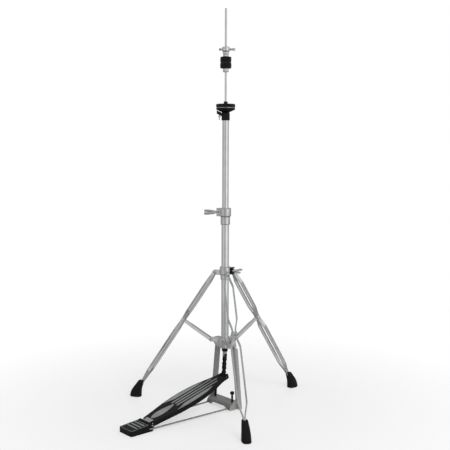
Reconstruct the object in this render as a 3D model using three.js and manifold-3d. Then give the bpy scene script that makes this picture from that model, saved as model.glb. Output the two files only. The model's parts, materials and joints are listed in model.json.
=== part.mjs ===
// Hi-hat stand: double-braced tripod, telescoping tube, pull rod with clutch, chain-driven pedal.
// Millimetres, +Z up. The pedal points to -Y. The tube stands on a vertical axis at x = 0, y = AXIS_Y.
import * as THREE from 'three';
import { mergeVertices } from 'three/addons/utils/BufferGeometryUtils.js';
import Module from 'manifold-3d';

const wasm = await Module();
wasm.setup();

// ---------- driving dimensions ----------
const AXIS_Y = 23.5;
const GAP = 0.3;
const ROUND = 24;
const SMALL_ROUND = 14;

const TUBE = { baseR: 11.1, baseBore: 9.9, upperR: 9.525, upperBore: 8.2 };
const BASE_TUBE_Z = { low: 184.4, high: 572 };
const UPPER_TUBE_Z = { low: 480, high: 865 };
const ROD_R = 3;
const ROD_TOP_Z = 1167;
const ROD_SPLIT_Z = 500;

const LEG_AZIMUTHS = [-30, 90, 210];
const LEG_NAMES = ['right', 'rear', 'left'];
const LEG_PIN = { r: 32, z: 404 };
const LEG_MID = { r: 132, z: 253 };
const FOOT_TOP = { r: 272, z: 45 };
const HUB_PIN = { r: 44, z: 201 };
const STRIP = { thick: 3.2, width: 12.4, endWidth: 10.5, inner: 4.9, spread: 13, upperSpread: 12.6 };
const BRACE = { wide: 5, tip: 2.9, height: 9.5 };
const FOOT = { r: 292, height: 52 };

const CLAMP_AZIMUTH = 229;
const COLLAR_WING_AZIMUTH = 30;
const CLUTCH_WING_AZIMUTH = 49;
const CLAMP_WING_Z = 583;
const COLLAR_WING_Z = 411;
const CLUTCH_WING_Z = 1051;
const CLAMP_WING = { shankR: 2.5, shank: 6.8, hubR: 4.6, hub: 9, span: 30, reach: 42, thick: 3.6, roll: -18 };
const COLLAR_WING = { shankR: 2.6, shank: 15.2, hubR: 4.4, hub: 7, span: 26, reach: 23, thick: 3, roll: 19 };
const CLUTCH_WING = { shankR: 2, shank: 6, hubR: 3.2, hub: 4, span: 20, reach: 15, thick: 2.8, roll: -8 };

const HEEL_HINGE = { y: -287, z: 16 };
const BOARD_SLOPE_DEG = 15.5;
const BOARD = { toe: 302, tipHalf: 12, hollowEnd: 270, skin: 3, drop: 12, wall: 2.4, top: 4 };
// Half width of the footboard at distance s from its hinge, as [s, half width].
const BOARD_HALF_WIDTHS = [
  [8, 24], [45, 30], [95, 38.5], [145, 41.5], [195, 38], [240, 27], [275, 17], [306, 14.5],
];
const HEEL = { half: 29.5, front: -296, back: -357, frontZ: 19, backZ: 13.5, skin: 3.4, rim: 6, corner: 6 };
const CHEEK = { thick: 3.2, round: 5, foot: -285 };
const TOE_PIN = { s: 292.8, n: -1.5 };
const CHAIN_PITCH = 12.7;
const CHAIN_LINKS = 5;
const CHAIN_TOP_Z = 156;

const UPRIGHT = { topX: 38, bottomX: 58, topZ: 181.5, bottomZ: 5, half: 8, depth: 10, wall: 1.8 };
const RADIUS_ROD = {
  halfWidth: 33, cross: -297, corner: 4, wireR: 2.3, height: 9, plateX: 44, plateY: -17, bendY: -28,
};
const SPUR_X = 38;
const SPUR_Y = -4;
const SEAT_BALL_Z = 893;

// ---------- materials ----------
function finish(color, roughness, metalness) {
  return new THREE.MeshStandardMaterial({ color, roughness, metalness });
}
const CHROME = finish(0xd9dbde, 0.12, 1);
const STEEL = finish(0xb4b6b8, 0.35, 1);
const CAST = finish(0xc3c5c6, 0.3, 0.9);
const GREY_PAINT = finish(0xb9bab7, 0.45, 0.3);
const DARK_PAINT = finish(0x55575a, 0.5, 0.3);
const BLACK_METAL = finish(0x1b1b1d, 0.4, 0.5);
const BLACK_PLASTIC = finish(0x141416, 0.5, 0);
const RUBBER = finish(0x1a1a1b, 0.8, 0);
const FELT = finish(0x111112, 0.95, 0);

// ---------- scene graph ----------
const group = new THREE.Group();
const stand = new THREE.Group();
stand.position.y = AXIS_Y;
group.add(stand);

function place(parent, name, geometry, material, position = [0, 0, 0]) {
  const mesh = new THREE.Mesh(geometry, material);
  mesh.name = name;
  mesh.position.set(...position);
  parent.add(mesh);
  return mesh;
}

function radial(azimuthDeg) {
  const frame = new THREE.Group();
  frame.rotation.z = THREE.MathUtils.degToRad(azimuthDeg);
  stand.add(frame);
  return frame;
}

// ---------- solids ----------
function toSolid(geometry) {
  const bare = geometry.clone();
  bare.deleteAttribute('normal');
  bare.deleteAttribute('uv');
  const merged = mergeVertices(bare, 1e-4);
  const index = merged.index.array;
  const triangles = [];
  for (let i = 0; i < index.length; i += 3) {
    const [a, b, c] = [index[i], index[i + 1], index[i + 2]];
    if (a !== b && b !== c && c !== a) {
      triangles.push(a, b, c);
    }
  }
  const mesh = new wasm.Mesh({
    numProp: 3,
    vertProperties: new Float32Array(merged.attributes.position.array),
    triVerts: new Uint32Array(triangles),
  });
  return new wasm.Manifold(mesh);
}

function toGeometry(solid) {
  const mesh = solid.getMesh();
  const geometry = new THREE.BufferGeometry();
  geometry.setAttribute('position', new THREE.BufferAttribute(new Float32Array(mesh.vertProperties), 3));
  geometry.setIndex(new THREE.BufferAttribute(new Uint32Array(mesh.triVerts), 1));
  geometry.computeVertexNormals();
  return geometry;
}

function build({ join = [], cut = [], keep = [] }) {
  let solid = toSolid(join[0]);
  for (const piece of join.slice(1)) {
    solid = solid.add(toSolid(piece));
  }
  for (const piece of keep) {
    solid = solid.intersect(toSolid(piece));
  }
  for (const piece of cut) {
    solid = solid.subtract(toSolid(piece));
  }
  return toGeometry(solid);
}

// Turned part about Z from [radius, z] points, outer side going up.
function lathe(points, segments = ROUND) {
  const profile = points.map(([r, z]) => new THREE.Vector2(r, z));
  return new THREE.LatheGeometry(profile, segments).rotateX(Math.PI / 2);
}

function ring(inner, outer, low, high, segments = ROUND) {
  const corners = [[inner, low], [outer, low], [outer, high], [inner, high], [inner, low]];
  return lathe(corners, segments);
}

function disc(radius, low, high, segments = ROUND) {
  return lathe([[0, low], [radius, low], [radius, high], [0, high]], segments);
}

function discAlongX(radius, low, high, y = 0, z = 0, segments = SMALL_ROUND) {
  return disc(radius, low, high, segments).rotateY(Math.PI / 2).translate(0, y, z);
}

function discAlongY(radius, low, high, x = 0, z = 0, segments = SMALL_ROUND) {
  return disc(radius, low, high, segments).rotateX(-Math.PI / 2).translate(x, 0, z);
}

function block(xs, ys, zs) {
  const box = new THREE.BoxGeometry(xs[1] - xs[0], ys[1] - ys[0], zs[1] - zs[0]);
  return box.translate((xs[0] + xs[1]) / 2, (ys[0] + ys[1]) / 2, (zs[0] + zs[1]) / 2);
}

function outline(points) {
  return new THREE.Shape(points.map(([x, y]) => new THREE.Vector2(x, y)));
}

// Flat plate drawn in X-Y, from z = low to z = high.
function slab(shape, low, high, curveSegments = 8) {
  const settings = { depth: high - low, bevelEnabled: false, curveSegments };
  return new THREE.ExtrudeGeometry(shape, settings).translate(0, 0, low);
}

// Flat plate drawn in X-Z, spanning y = -half to y = half.
function sidePlate(shape, half, curveSegments = 8) {
  return slab(shape, -half, half, curveSegments).rotateX(Math.PI / 2);
}

// Plate drawn in Y-Z, spanning x = low to x = high.
function crossPlate(shape, low, high, curveSegments = 8) {
  return slab(shape, low, high, curveSegments).rotateY(Math.PI / 2).rotateX(Math.PI / 2);
}

// Bar with round ends at x = 0 and x = length, drawn in X-Z.
function roundBar(length, radius, half) {
  const shape = new THREE.Shape();
  shape.absarc(0, 0, radius, Math.PI / 2, Math.PI * 1.5, false);
  shape.absarc(length, 0, radius, -Math.PI / 2, Math.PI / 2, false);
  return sidePlate(shape, half, 5);
}

// Closed skin through rings of points that have the same count, with flat ends.
function loft(rings) {
  const count = rings[0].length;
  const points = rings.flat();
  const index = [];
  for (let level = 0; level < rings.length - 1; level++) {
    for (let i = 0; i < count; i++) {
      const a = level * count + i;
      const b = level * count + (i + 1) % count;
      index.push(a, b, b + count, a, b + count, a + count);
    }
  }
  const last = (rings.length - 1) * count;
  for (let i = 1; i < count - 1; i++) {
    index.push(0, i + 1, i);
    index.push(last, last + i, last + i + 1);
  }
  const geometry = new THREE.BufferGeometry();
  geometry.setAttribute('position', new THREE.Float32BufferAttribute(points.flat(), 3));
  geometry.setIndex(index);
  geometry.computeVertexNormals();
  return geometry;
}

// Wing screw along +X: shank from -shank to 0, hub, then two flat wings that open like a V.
function wingScrew({ shankR, shank, hubR, hub, span, reach, thick }) {
  const tip = span / 2;
  const wing = outline([
    [hub * 0.3, -hubR * 0.8], [hub, -hubR], [reach * 0.55, -tip * 0.92], [reach * 0.85, -tip],
    [reach, -tip * 0.82], [reach * 0.97, -tip * 0.5], [hub * 1.5, -hubR * 0.2],
    [hub * 1.5, hubR * 0.2], [reach * 0.97, tip * 0.5], [reach, tip * 0.82],
    [reach * 0.85, tip], [reach * 0.55, tip * 0.92], [hub, hubR], [hub * 0.3, hubR * 0.8],
  ]);
  return build({
    join: [
      slab(wing, -thick / 2, thick / 2),
      discAlongX(hubR, 0, hub),
      discAlongX(shankR, -shank, hub * 0.5, 0, 0, 12),
    ],
  });
}

// ---------- frame: tubes, hub, uprights, base plate ----------
function addBaseTube() {
  const tube = ring(TUBE.baseBore, TUBE.baseR, BASE_TUBE_Z.low, BASE_TUBE_Z.high);
  place(stand, 'base_tube', tube, CHROME);
  const bush = lathe([
    [TUBE.upperR + GAP, 573], [TUBE.baseR, 573], [TUBE.baseR, 594],
    [TUBE.upperR + GAP, 594], [TUBE.upperR + GAP, 573],
  ]);
  place(stand, 'tube_bush', bush, BLACK_PLASTIC);
}

function addHeightClamp() {
  const frame = radial(CLAMP_AZIMUTH);
  const bore = TUBE.baseR + GAP;
  const body = lathe([
    [bore, 546], [13.4, 546], [13.8, 549], [13.8, 569], [16, 571], [17, 573],
    [17, 593], [16, 595], [bore, 595], [bore, 546],
  ]);
  const ears = block([12.5, 26], [-9, 9], [571.5, 594.5]);
  const recess = block([19.5, 30], [-12, 12], [577, 589]);
  const slot = block([8, 20], [-1, 1], [560, 600]);
  const screwHole = discAlongX(2.9, 10, 24, 0, CLAMP_WING_Z);
  const core = disc(bore, 540, 600);
  const clamp = build({ join: [body, ears], cut: [core, recess, slot, screwHole] });
  place(frame, 'height_clamp', clamp, CHROME);
  const screw = wingScrew(CLAMP_WING);
  const mesh = place(frame, 'height_wing_screw', screw, CHROME, [20, 0, CLAMP_WING_Z]);
  mesh.rotation.x = THREE.MathUtils.degToRad(CLAMP_WING.roll);
}

function earPlate(pin, inner, radius, half) {
  const shape = new THREE.Shape();
  shape.moveTo(inner, pin.z - radius);
  shape.lineTo(pin.r, pin.z - radius);
  shape.absarc(pin.r, pin.z, radius, -Math.PI / 2, Math.PI / 2, false);
  shape.lineTo(inner, pin.z + radius);
  shape.closePath();
  return sidePlate(shape, half, 6);
}

function turned(geometry, azimuthDeg) {
  return geometry.rotateZ(THREE.MathUtils.degToRad(azimuthDeg));
}

function pinHole(pin) {
  return discAlongY(2.9, -12, 12, pin.r, pin.z, 10);
}

function addHub() {
  const bore = TUBE.baseR + GAP;
  const barrel = disc(17, 179.3, 210);
  const yoke = sidePlate(outline([
    [-40, 184], [-31, 183], [-20, 179.5], [20, 179.5], [31, 183], [40, 184],
    [42, 196], [40, 207], [-40, 207], [-42, 196],
  ]), 8);
  const tongues = [-1, 1].map((side) => uprightBar(side, 5.6, 2.4, 8, 138, 190));
  const ears = LEG_AZIMUTHS.map((azimuth) => turned(earPlate(HUB_PIN, 8, 7, 3), azimuth));
  const ribs = [-12, -6, 0, 6, 12].map((x) => block([x - 1.2, x + 1.2], [-19, -8], [182, 206]));
  const tubeSeat = disc(bore, 184, 220);
  const rodHole = disc(4.4, 170, 190, SMALL_ROUND);
  const holes = LEG_AZIMUTHS.map((azimuth) => turned(pinHole(HUB_PIN), azimuth));
  const hub = build({
    join: [barrel, yoke, ...tongues, ...ears, ...ribs],
    cut: [tubeSeat, rodHole, ...holes],
  });
  place(stand, 'hub_casting', hub, CAST);
  for (const [i, azimuth] of LEG_AZIMUTHS.entries()) {
    const pin = discAlongY(2.5, -7.4, 7.4, HUB_PIN.r, HUB_PIN.z);
    place(radial(azimuth), `brace_pin_${LEG_NAMES[i]}`, pin, STEEL);
  }
  const bush = ring(ROD_R + 0.4, 9, 168.4, 179);
  place(stand, 'rod_guide_bush', bush, BLACK_PLASTIC);
}

// Straight bar along an upright's slant: half width across, y from near to far, between two heights.
function uprightBar(side, half, near, far, low, high) {
  const lean = Math.atan2(UPRIGHT.bottomX - UPRIGHT.topX, UPRIGHT.topZ - UPRIGHT.bottomZ);
  const start = (low - UPRIGHT.bottomZ) / Math.cos(lean);
  const end = (high - UPRIGHT.bottomZ) / Math.cos(lean);
  const bar = block([-half, half], [near, far], [start, end]);
  return bar.rotateY(-side * lean).translate(side * UPRIGHT.bottomX, 0, UPRIGHT.bottomZ);
}

function addUprights() {
  const { half, depth, wall, bottomX, bottomZ, topZ } = UPRIGHT;
  for (const [side, name] of [[1, 'right'], [-1, 'left']]) {
    const outer = uprightBar(side, half, 0, depth, bottomZ, topZ);
    const hollow = uprightBar(side, half - wall, wall, depth + 5, bottomZ - 20, topZ + 20);
    const inner = bottomX - half + 0.4;
    const gusset = outline([[2, 4], [2, 36], [-4, 34], [-26, 12], [-26, 4]]);
    const limits = side > 0 ? [inner, inner + 2.2] : [-inner - 2.2, -inner];
    const channel = build({
      join: [toGeometry(toSolid(outer).subtract(toSolid(hollow))), crossPlate(gusset, ...limits)],
    });
    place(stand, `upright_${name}`, channel, GREY_PAINT);
  }
}

function addBasePlate() {
  const section = outline([
    [-24, 4], [-21.8, 4], [-21.8, 17.8], [-17, 20.8], [11.8, 20.8], [11.8, 4],
    [14, 4], [14, 23], [-18, 23], [-24, 19],
  ]);
  const reach = UPRIGHT.bottomX - UPRIGHT.half + 0.4 - GAP;
  const strip = crossPlate(section, -reach, reach);
  const clear = [-1, 1].map((side) => uprightBar(side, UPRIGHT.half + 0.5, -0.5, 11, 0, 60));
  const bosses = [-1, 1].map((side) => disc(6.5, 12, 22, SMALL_ROUND).translate(side * SPUR_X, SPUR_Y, 0));
  const holes = [-1, 1].map((side) => disc(3.5, 0, 40, SMALL_ROUND).translate(side * SPUR_X, SPUR_Y, 0));
  const { plateX, height } = RADIUS_ROD;
  const rodHoles = [-1, 1].map((side) => discAlongY(2.8, -30, -15, side * plateX, height));
  const plate = build({ join: [strip, ...bosses], cut: [...holes, ...rodHoles, ...clear] });
  place(stand, 'base_plate', plate, DARK_PAINT);
}

// Round wire through points of one level, with a flat end at each end of the path.
function flatWire(path, radius, height, sides = 8) {
  const rings = path.map(([x, y], i) => {
    const [fromX, fromY] = path[Math.max(i - 1, 0)];
    const [toX, toY] = path[Math.min(i + 1, path.length - 1)];
    const length = Math.hypot(toX - fromX, toY - fromY);
    const across = [(fromY - toY) / length, (toX - fromX) / length];
    return Array.from({ length: sides }, (_, k) => {
      const angle = ((k + 0.5) / sides) * Math.PI * 2;
      const side = radius * Math.cos(angle);
      return [x + across[0] * side, y + across[1] * side, height + radius * Math.sin(angle)];
    });
  });
  return loft(rings);
}

function addRadiusRod() {
  const { halfWidth, cross, corner, wireR, height, plateX, plateY, bendY } = RADIUS_ROD;
  const bend = [];
  for (let i = 0; i <= 4; i++) {
    const angle = (i / 4) * (Math.PI / 2);
    const x = halfWidth - corner + corner * Math.cos(angle);
    bend.push([x, cross + corner - corner * Math.sin(angle)]);
  }
  const right = [[plateX, plateY], [plateX, bendY], ...bend];
  const left = right.map(([x, y]) => [-x, y]).reverse();
  place(stand, 'radius_rod', flatWire([...right, ...left], wireR, height), STEEL);
}

function addSpurs() {
  for (const [side, name] of [[1, 'right'], [-1, 'left']]) {
    const spur = lathe([
      [0, 13], [3, 18], [3, 45], [4.5, 45.5], [6, 47], [6, 53], [4.5, 54.5], [0, 54.5],
    ], SMALL_ROUND);
    place(stand, `floor_spur_${name}`, spur, BLACK_METAL, [side * SPUR_X, SPUR_Y, 0]);
  }
}

// ---------- leg collar and its three legs and braces ----------
function addCollar() {
  const bore = TUBE.baseR + 0.35;
  const sleeve = lathe([
    [8, 384], [13.6, 384], [13.6, 398], [16, 400], [16, 420.5], [14.5, 422], [8, 422], [8, 384],
  ]);
  const lugs = LEG_AZIMUTHS.map((azimuth) => turned(earPlate(LEG_PIN, 10, 7.5, 3), azimuth));
  const boss = turned(block([10, 16.5], [-8, 8], [402, 420]), COLLAR_WING_AZIMUTH);
  const holes = LEG_AZIMUTHS.map((azimuth) => turned(pinHole(LEG_PIN), azimuth));
  const screwHole = turned(discAlongX(3, 8, 20, 0, COLLAR_WING_Z), COLLAR_WING_AZIMUTH);
  const core = disc(bore, 380, 430);
  const collar = build({ join: [sleeve, boss, ...lugs], cut: [core, screwHole, ...holes] });
  place(stand, 'leg_collar', collar, CAST);
  for (const [i, azimuth] of LEG_AZIMUTHS.entries()) {
    const pin = discAlongY(2.5, -7.6, 7.6, LEG_PIN.r, LEG_PIN.z);
    place(radial(azimuth), `leg_pin_${LEG_NAMES[i]}`, pin, STEEL);
  }
  const frame = radial(COLLAR_WING_AZIMUTH);
  const pad = build({
    join: [block([16.8, 27], [-8.5, 8.5], [401, 421])],
    cut: [discAlongX(3, 10, 30, 0, COLLAR_WING_Z)],
  });
  place(frame, 'collar_clamp_block', pad, BLACK_PLASTIC);
  const screw = wingScrew(COLLAR_WING);
  const mesh = place(frame, 'collar_wing_screw', screw, CHROME, [27.5, 0, COLLAR_WING_Z]);
  mesh.rotation.x = THREE.MathUtils.degToRad(COLLAR_WING.roll);
}

// Frame with +X from one point of the radial plane to another.
function along(parent, from, to) {
  const frame = new THREE.Group();
  frame.position.set(from.r, 0, from.z);
  frame.rotation.y = Math.atan2(from.z - to.z, to.r - from.r);
  parent.add(frame);
  return frame;
}

function distance(from, to) {
  return Math.hypot(to.r - from.r, to.z - from.z);
}

// Side-to-side line of one leg strip, as [distance along the leg, offset from the middle].
function stripLine(mid, end) {
  const { inner, spread, upperSpread } = STRIP;
  return [
    [-8, inner], [12, inner], [36, upperSpread - 1], [50, upperSpread], [mid - 50, upperSpread],
    [mid - 36, upperSpread - 1.5], [mid - 11, inner], [mid + 11, inner], [mid + 36, spread - 1],
    [mid + 50, spread], [end - 84, spread - 0.5], [end - 64, spread - 2], [end - 28, 2.4], [end, 2.1],
  ];
}

// A strip seen from its side: round at the pin, wide along the leg and narrower inside the foot.
function stripFace(end) {
  const narrow = STRIP.endWidth / 2;
  const wide = STRIP.width / 2;
  const face = new THREE.Shape();
  face.absarc(0, 0, narrow, Math.PI / 2, Math.PI * 1.5, false);
  face.lineTo(20, -wide);
  face.lineTo(end - 70, -wide);
  face.lineTo(end - 40, -narrow);
  face.lineTo(end, -narrow);
  face.lineTo(end, narrow);
  face.lineTo(end - 40, narrow);
  face.lineTo(end - 70, wide);
  face.lineTo(20, wide);
  return sidePlate(face, 30, 5);
}

function stripGeometry(sign) {
  const mid = distance(LEG_PIN, LEG_MID);
  const end = distance(LEG_PIN, FOOT_TOP) + 16;
  const line = stripLine(mid, end);
  const half = STRIP.thick / 2;
  const outer = line.map(([u, t]) => [u, sign * (t + half)]);
  const inner = line.map(([u, t]) => [u, sign * (t - half)]).reverse();
  const plan = slab(outline([...outer, ...inner]), -STRIP.width / 2, STRIP.width / 2);
  const hole = discAlongY(2.9, -30, 30);
  return build({ join: [plan], keep: [stripFace(end)], cut: [hole] });
}

function footRing(centre, radialHalf, sideHalf, z) {
  const points = [];
  const sides = 16;
  for (let i = 0; i < sides; i++) {
    const angle = (i / sides) * Math.PI * 2;
    const squareness = 0.72;
    const cos = Math.cos(angle);
    const sin = Math.sin(angle);
    const x = Math.sign(cos) * Math.abs(cos) ** squareness * radialHalf;
    const y = Math.sign(sin) * Math.abs(sin) ** squareness * sideHalf;
    points.push([centre + x, y, z]);
  }
  return points;
}

function footGeometry() {
  const rings = [
    footRing(FOOT.r, 17.5, 12.5, 0),
    footRing(FOOT.r, 18, 13, 3),
    footRing(FOOT.r - 1, 17, 12.5, 14),
    footRing(FOOT.r - 6, 14, 11.5, 28),
    footRing(FOOT.r - 14, 11, 10, 42),
    footRing(FOOT.r - 20, 9.5, 8.5, FOOT.height),
  ];
  const holder = new THREE.Group();
  const lane = along(holder, LEG_PIN, FOOT_TOP);
  holder.updateMatrixWorld(true);
  const start = distance(LEG_PIN, FOOT_TOP);
  const pocket = block([start - 30, start + 17], [-4.2, 4.2], [-5.7, 5.7]).applyMatrix4(lane.matrixWorld);
  return build({ join: [loft(rings)], cut: [pocket] });
}

function braceGeometry() {
  const length = distance(HUB_PIN, LEG_MID);
  const { wide, tip, height } = BRACE;
  const slot = 3.3;
  const plan = outline([
    [-6, slot], [-6, wide], [length - 34, wide], [length - 21, tip], [length + 5, tip],
    [length + 5, -tip], [length - 21, -tip], [length - 34, -wide], [-6, -wide], [-6, -slot],
    [12.5, -slot], [12.5, slot],
  ]);
  const body = slab(plan, -height / 2, height / 2);
  return build({
    join: [body],
    keep: [roundBar(length, height / 2 + 0.2, 20)],
    cut: [discAlongY(2.9, -20, 20)],
  });
}

function addLegs() {
  for (const [i, azimuth] of LEG_AZIMUTHS.entries()) {
    const name = LEG_NAMES[i];
    const frame = radial(azimuth);
    const leg = along(frame, LEG_PIN, FOOT_TOP);
    place(leg, `leg_strip_${name}_a`, stripGeometry(1), CHROME);
    place(leg, `leg_strip_${name}_b`, stripGeometry(-1), CHROME);
    place(frame, `rubber_foot_${name}`, footGeometry(), RUBBER);
    place(along(frame, HUB_PIN, LEG_MID), `brace_${name}`, braceGeometry(), CHROME);
  }
}

// ---------- upper tube and cymbal seat ----------
function ballArc(radius, fromR, toR, steps) {
  const points = [];
  for (let i = 0; i <= steps; i++) {
    const r = fromR + (toR - fromR) * (i / steps);
    points.push([r, SEAT_BALL_Z - Math.sqrt(radius * radius - r * r)]);
  }
  return points;
}

function addUpperTube() {
  const tube = ring(TUBE.upperBore, TUBE.upperR, UPPER_TUBE_Z.low, UPPER_TUBE_Z.high);
  place(stand, 'upper_tube', tube, CHROME);
  const bore = TUBE.upperR + GAP;
  const body = lathe([
    [bore, 849], [11.4, 849], [12, 850], [12, 869.5], ...ballArc(24, 4.5, 10.8, 4).reverse(),
    [4.5, UPPER_TUBE_Z.high + GAP], [bore, UPPER_TUBE_Z.high + GAP], [bore, 849],
  ]);
  const ear = sidePlate(outline([
    [10.8, 861], [13, 862], [26, 868.5], [26, 877.4], [12.6, 871.4], [11.2, 869],
  ]), 6.5);
  const frame = radial(CLAMP_AZIMUTH);
  const hole = disc(2.4, 855, 880, SMALL_ROUND).translate(18, 0, 0);
  place(frame, 'seat_base', build({ join: [body, ear], cut: [hole] }), BLACK_PLASTIC);
  const wing = block([-1.3, 1.3], [-4.6, 4.6], [850, 861]);
  const shank = disc(2, 857, 873.6, 12);
  const neck = disc(3.2, 858, 862.2, 12);
  place(frame, 'tilter_screw', build({ join: [wing, shank, neck] }), CHROME, [18, 0, 0]);
}

function addSeat() {
  const cup = lathe([
    ...ballArc(23.6, 7.4, 12, 3), [27.3, 879.6], [27.5, 884], [5.8, 884], [5.8, 902.4], [5.3, 903],
    [4.7, 903], [4.7, 886], [7.4, SEAT_BALL_Z - Math.sqrt(23.6 ** 2 - 7.4 ** 2)],
  ]);
  place(stand, 'seat_cup', cup, BLACK_PLASTIC);
  place(stand, 'seat_washer', ring(6.1, 27, 884.3, 885.4), CHROME);
  const felt = lathe([
    [6.2, 885.7], [27.5, 885.7], [28, 887], [28, 894.6], [27, 896], [6.2, 896], [6.2, 885.7],
  ]);
  place(stand, 'seat_felt', felt, FELT);
}

// ---------- pull rod, spring and clutch ----------
function springGeometry() {
  const turns = 8;
  const radius = 7.2;
  const low = 186.2;
  const high = 294;
  const coil = new THREE.Curve();
  coil.getPoint = (t, target = new THREE.Vector3()) => {
    const angle = t * turns * Math.PI * 2;
    return target.set(radius * Math.cos(angle), radius * Math.sin(angle), low + (high - low) * t);
  };
  const wire = new THREE.Shape();
  wire.absarc(0, 0, 1, 0, Math.PI * 2, false);
  const settings = { extrudePath: coil, steps: turns * 8, bevelEnabled: false, curveSegments: 3 };
  return new THREE.ExtrudeGeometry(wire, settings);
}

function addPullRod() {
  const low = 161.9;
  const lower = lathe([
    [0, low], [ROD_R, low], [ROD_R, 296], [8, 296], [8, 302], [ROD_R, 302],
    [ROD_R, ROD_SPLIT_Z - GAP], [0, ROD_SPLIT_Z - GAP],
  ], 18);
  place(stand, 'lower_rod', lower, STEEL);
  const upper = lathe([
    [0, ROD_SPLIT_Z + GAP], [ROD_R, ROD_SPLIT_Z + GAP], [ROD_R, ROD_TOP_Z - 1.5],
    [ROD_R - 1.2, ROD_TOP_Z], [0, ROD_TOP_Z],
  ], 18);
  place(stand, 'upper_rod', upper, CHROME);
  place(stand, 'rod_coupling', ring(ROD_R + GAP, 6, 487, 513, 12), STEEL);
  place(stand, 'return_spring', springGeometry(), STEEL);
}

function addChainCoupler() {
  const nut = disc(6.8, 160.8, 167.8, 6);
  const tongue = crossPlate(outline([
    [-3, 151.6], [3, 151.6], [4.5, 154], [4.5, 162], [-4.5, 162], [-4.5, 154],
  ]), -2.7, 2.7);
  const coupler = build({
    join: [nut, tongue],
    cut: [disc(ROD_R + GAP, 161.6, 170, 18), discAlongX(2.3, -10, 10, 0, CHAIN_TOP_Z)],
  });
  place(stand, 'chain_coupler', coupler, STEEL);
}

function addClutch() {
  const bore = ROD_R + 0.4;
  const body = lathe([
    [bore, 986], [5.4, 986], [5.4, 1037.5], [8.6, 1037.5], [8.8, 1043], [11, 1046], [11, 1056],
    [9.5, 1058], [bore, 1058], [bore, 986],
  ]);
  const frame = radial(CLUTCH_WING_AZIMUTH);
  const neck = discAlongX(2.4, -14, -8, 0, CLUTCH_WING_Z);
  const stub = discAlongX(3.6, -19.8, -13.4, 0, CLUTCH_WING_Z);
  const hole = discAlongX(2.4, 0, 15, 0, CLUTCH_WING_Z);
  place(frame, 'clutch_body', build({ join: [body, neck, stub], cut: [hole] }), CHROME);
  const screw = wingScrew(CLUTCH_WING);
  const mesh = place(frame, 'clutch_wing_screw', screw, CHROME, [11.8, 0, CLUTCH_WING_Z]);
  mesh.rotation.x = THREE.MathUtils.degToRad(CLUTCH_WING.roll);
  place(stand, 'clutch_lock_nut', ring(5.75, 8, 1030.2, 1037.1, 12), CHROME);
  place(stand, 'clutch_felt_upper', ring(5.8, 16.3, 1013.6, 1029.9), FELT);
  place(stand, 'clutch_felt_lower', ring(5.8, 16.5, 997.2, 1013.3), FELT);
  place(stand, 'clutch_bottom_nut', ring(5.75, 8.6, 987.2, 996.9, 12), CHROME);
}

// ---------- pedal ----------
function boardOutline(inset, heel, toe, tipHalf) {
  const edge = BOARD_HALF_WIDTHS.map(([s, half]) => new THREE.Vector2(half - inset, s));
  const flank = new THREE.SplineCurve(edge).getPoints(22).filter((p) => p.y >= heel && p.y < toe - 4);
  const side = [...flank, new THREE.Vector2(tipHalf, toe)];
  const mirrored = side.map((p) => new THREE.Vector2(-p.x, p.y)).reverse();
  return new THREE.Shape([...side, ...mirrored]);
}

// Pressed footboard: a skin with a turned-down rim, open below, and a forked toe around the chain.
function addFootboard() {
  const pedal = new THREE.Group();
  pedal.position.set(0, HEEL_HINGE.y, HEEL_HINGE.z);
  pedal.rotation.x = THREE.MathUtils.degToRad(BOARD_SLOPE_DEG);
  stand.add(pedal);
  const { toe, tipHalf, hollowEnd, skin, drop, wall, top } = BOARD;
  const shell = slab(boardOutline(0, 0, toe, tipHalf), top - drop, top);
  const hollow = slab(boardOutline(wall, 10, hollowEnd, 15), top - drop - 1, top - skin);
  const heelOpening = block([-21, 21], [-5, 14], [top - drop - 1, top - skin]);
  const knuckle = discAlongX(5, -14, 14);
  const bridge = block([-14, 14], [1, 13], [-2.5, top]);
  const hingeHole = discAlongX(2.8, -30, 30);
  const fork = block([-6.4, 6.4], [281, toe + 5], [-20, 20]);
  const toeHole = discAlongX(2.3, -30, 30, TOE_PIN.s, TOE_PIN.n);
  const opened = toGeometry(toSolid(shell).subtract(toSolid(hollow)).subtract(toSolid(heelOpening)));
  const board = build({ join: [opened, bridge, knuckle], cut: [hingeHole, fork, toeHole] });
  place(pedal, 'footboard', board, BLACK_METAL);
  place(pedal, 'toe_pin', discAlongX(2, -13.5, 13.5, TOE_PIN.s, TOE_PIN.n), CHROME);
}

// Side wall that runs forward past the heel plate and holds one end of the hinge pin.
function cheekPlate(side) {
  const { round, foot, thick } = CHEEK;
  const shape = new THREE.Shape();
  shape.moveTo(HEEL.front - 8, 0);
  shape.lineTo(foot, 0);
  shape.lineTo(HEEL_HINGE.y + round, HEEL_HINGE.z - round);
  shape.absarc(HEEL_HINGE.y, HEEL_HINGE.z, round, 0, Math.PI / 2, false);
  shape.lineTo(HEEL.front - 8, HEEL.frontZ - 2);
  const outer = side * HEEL.half;
  const inner = side * (HEEL.half - thick);
  return crossPlate(shape, Math.min(outer, inner), Math.max(outer, inner), 6);
}

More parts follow.
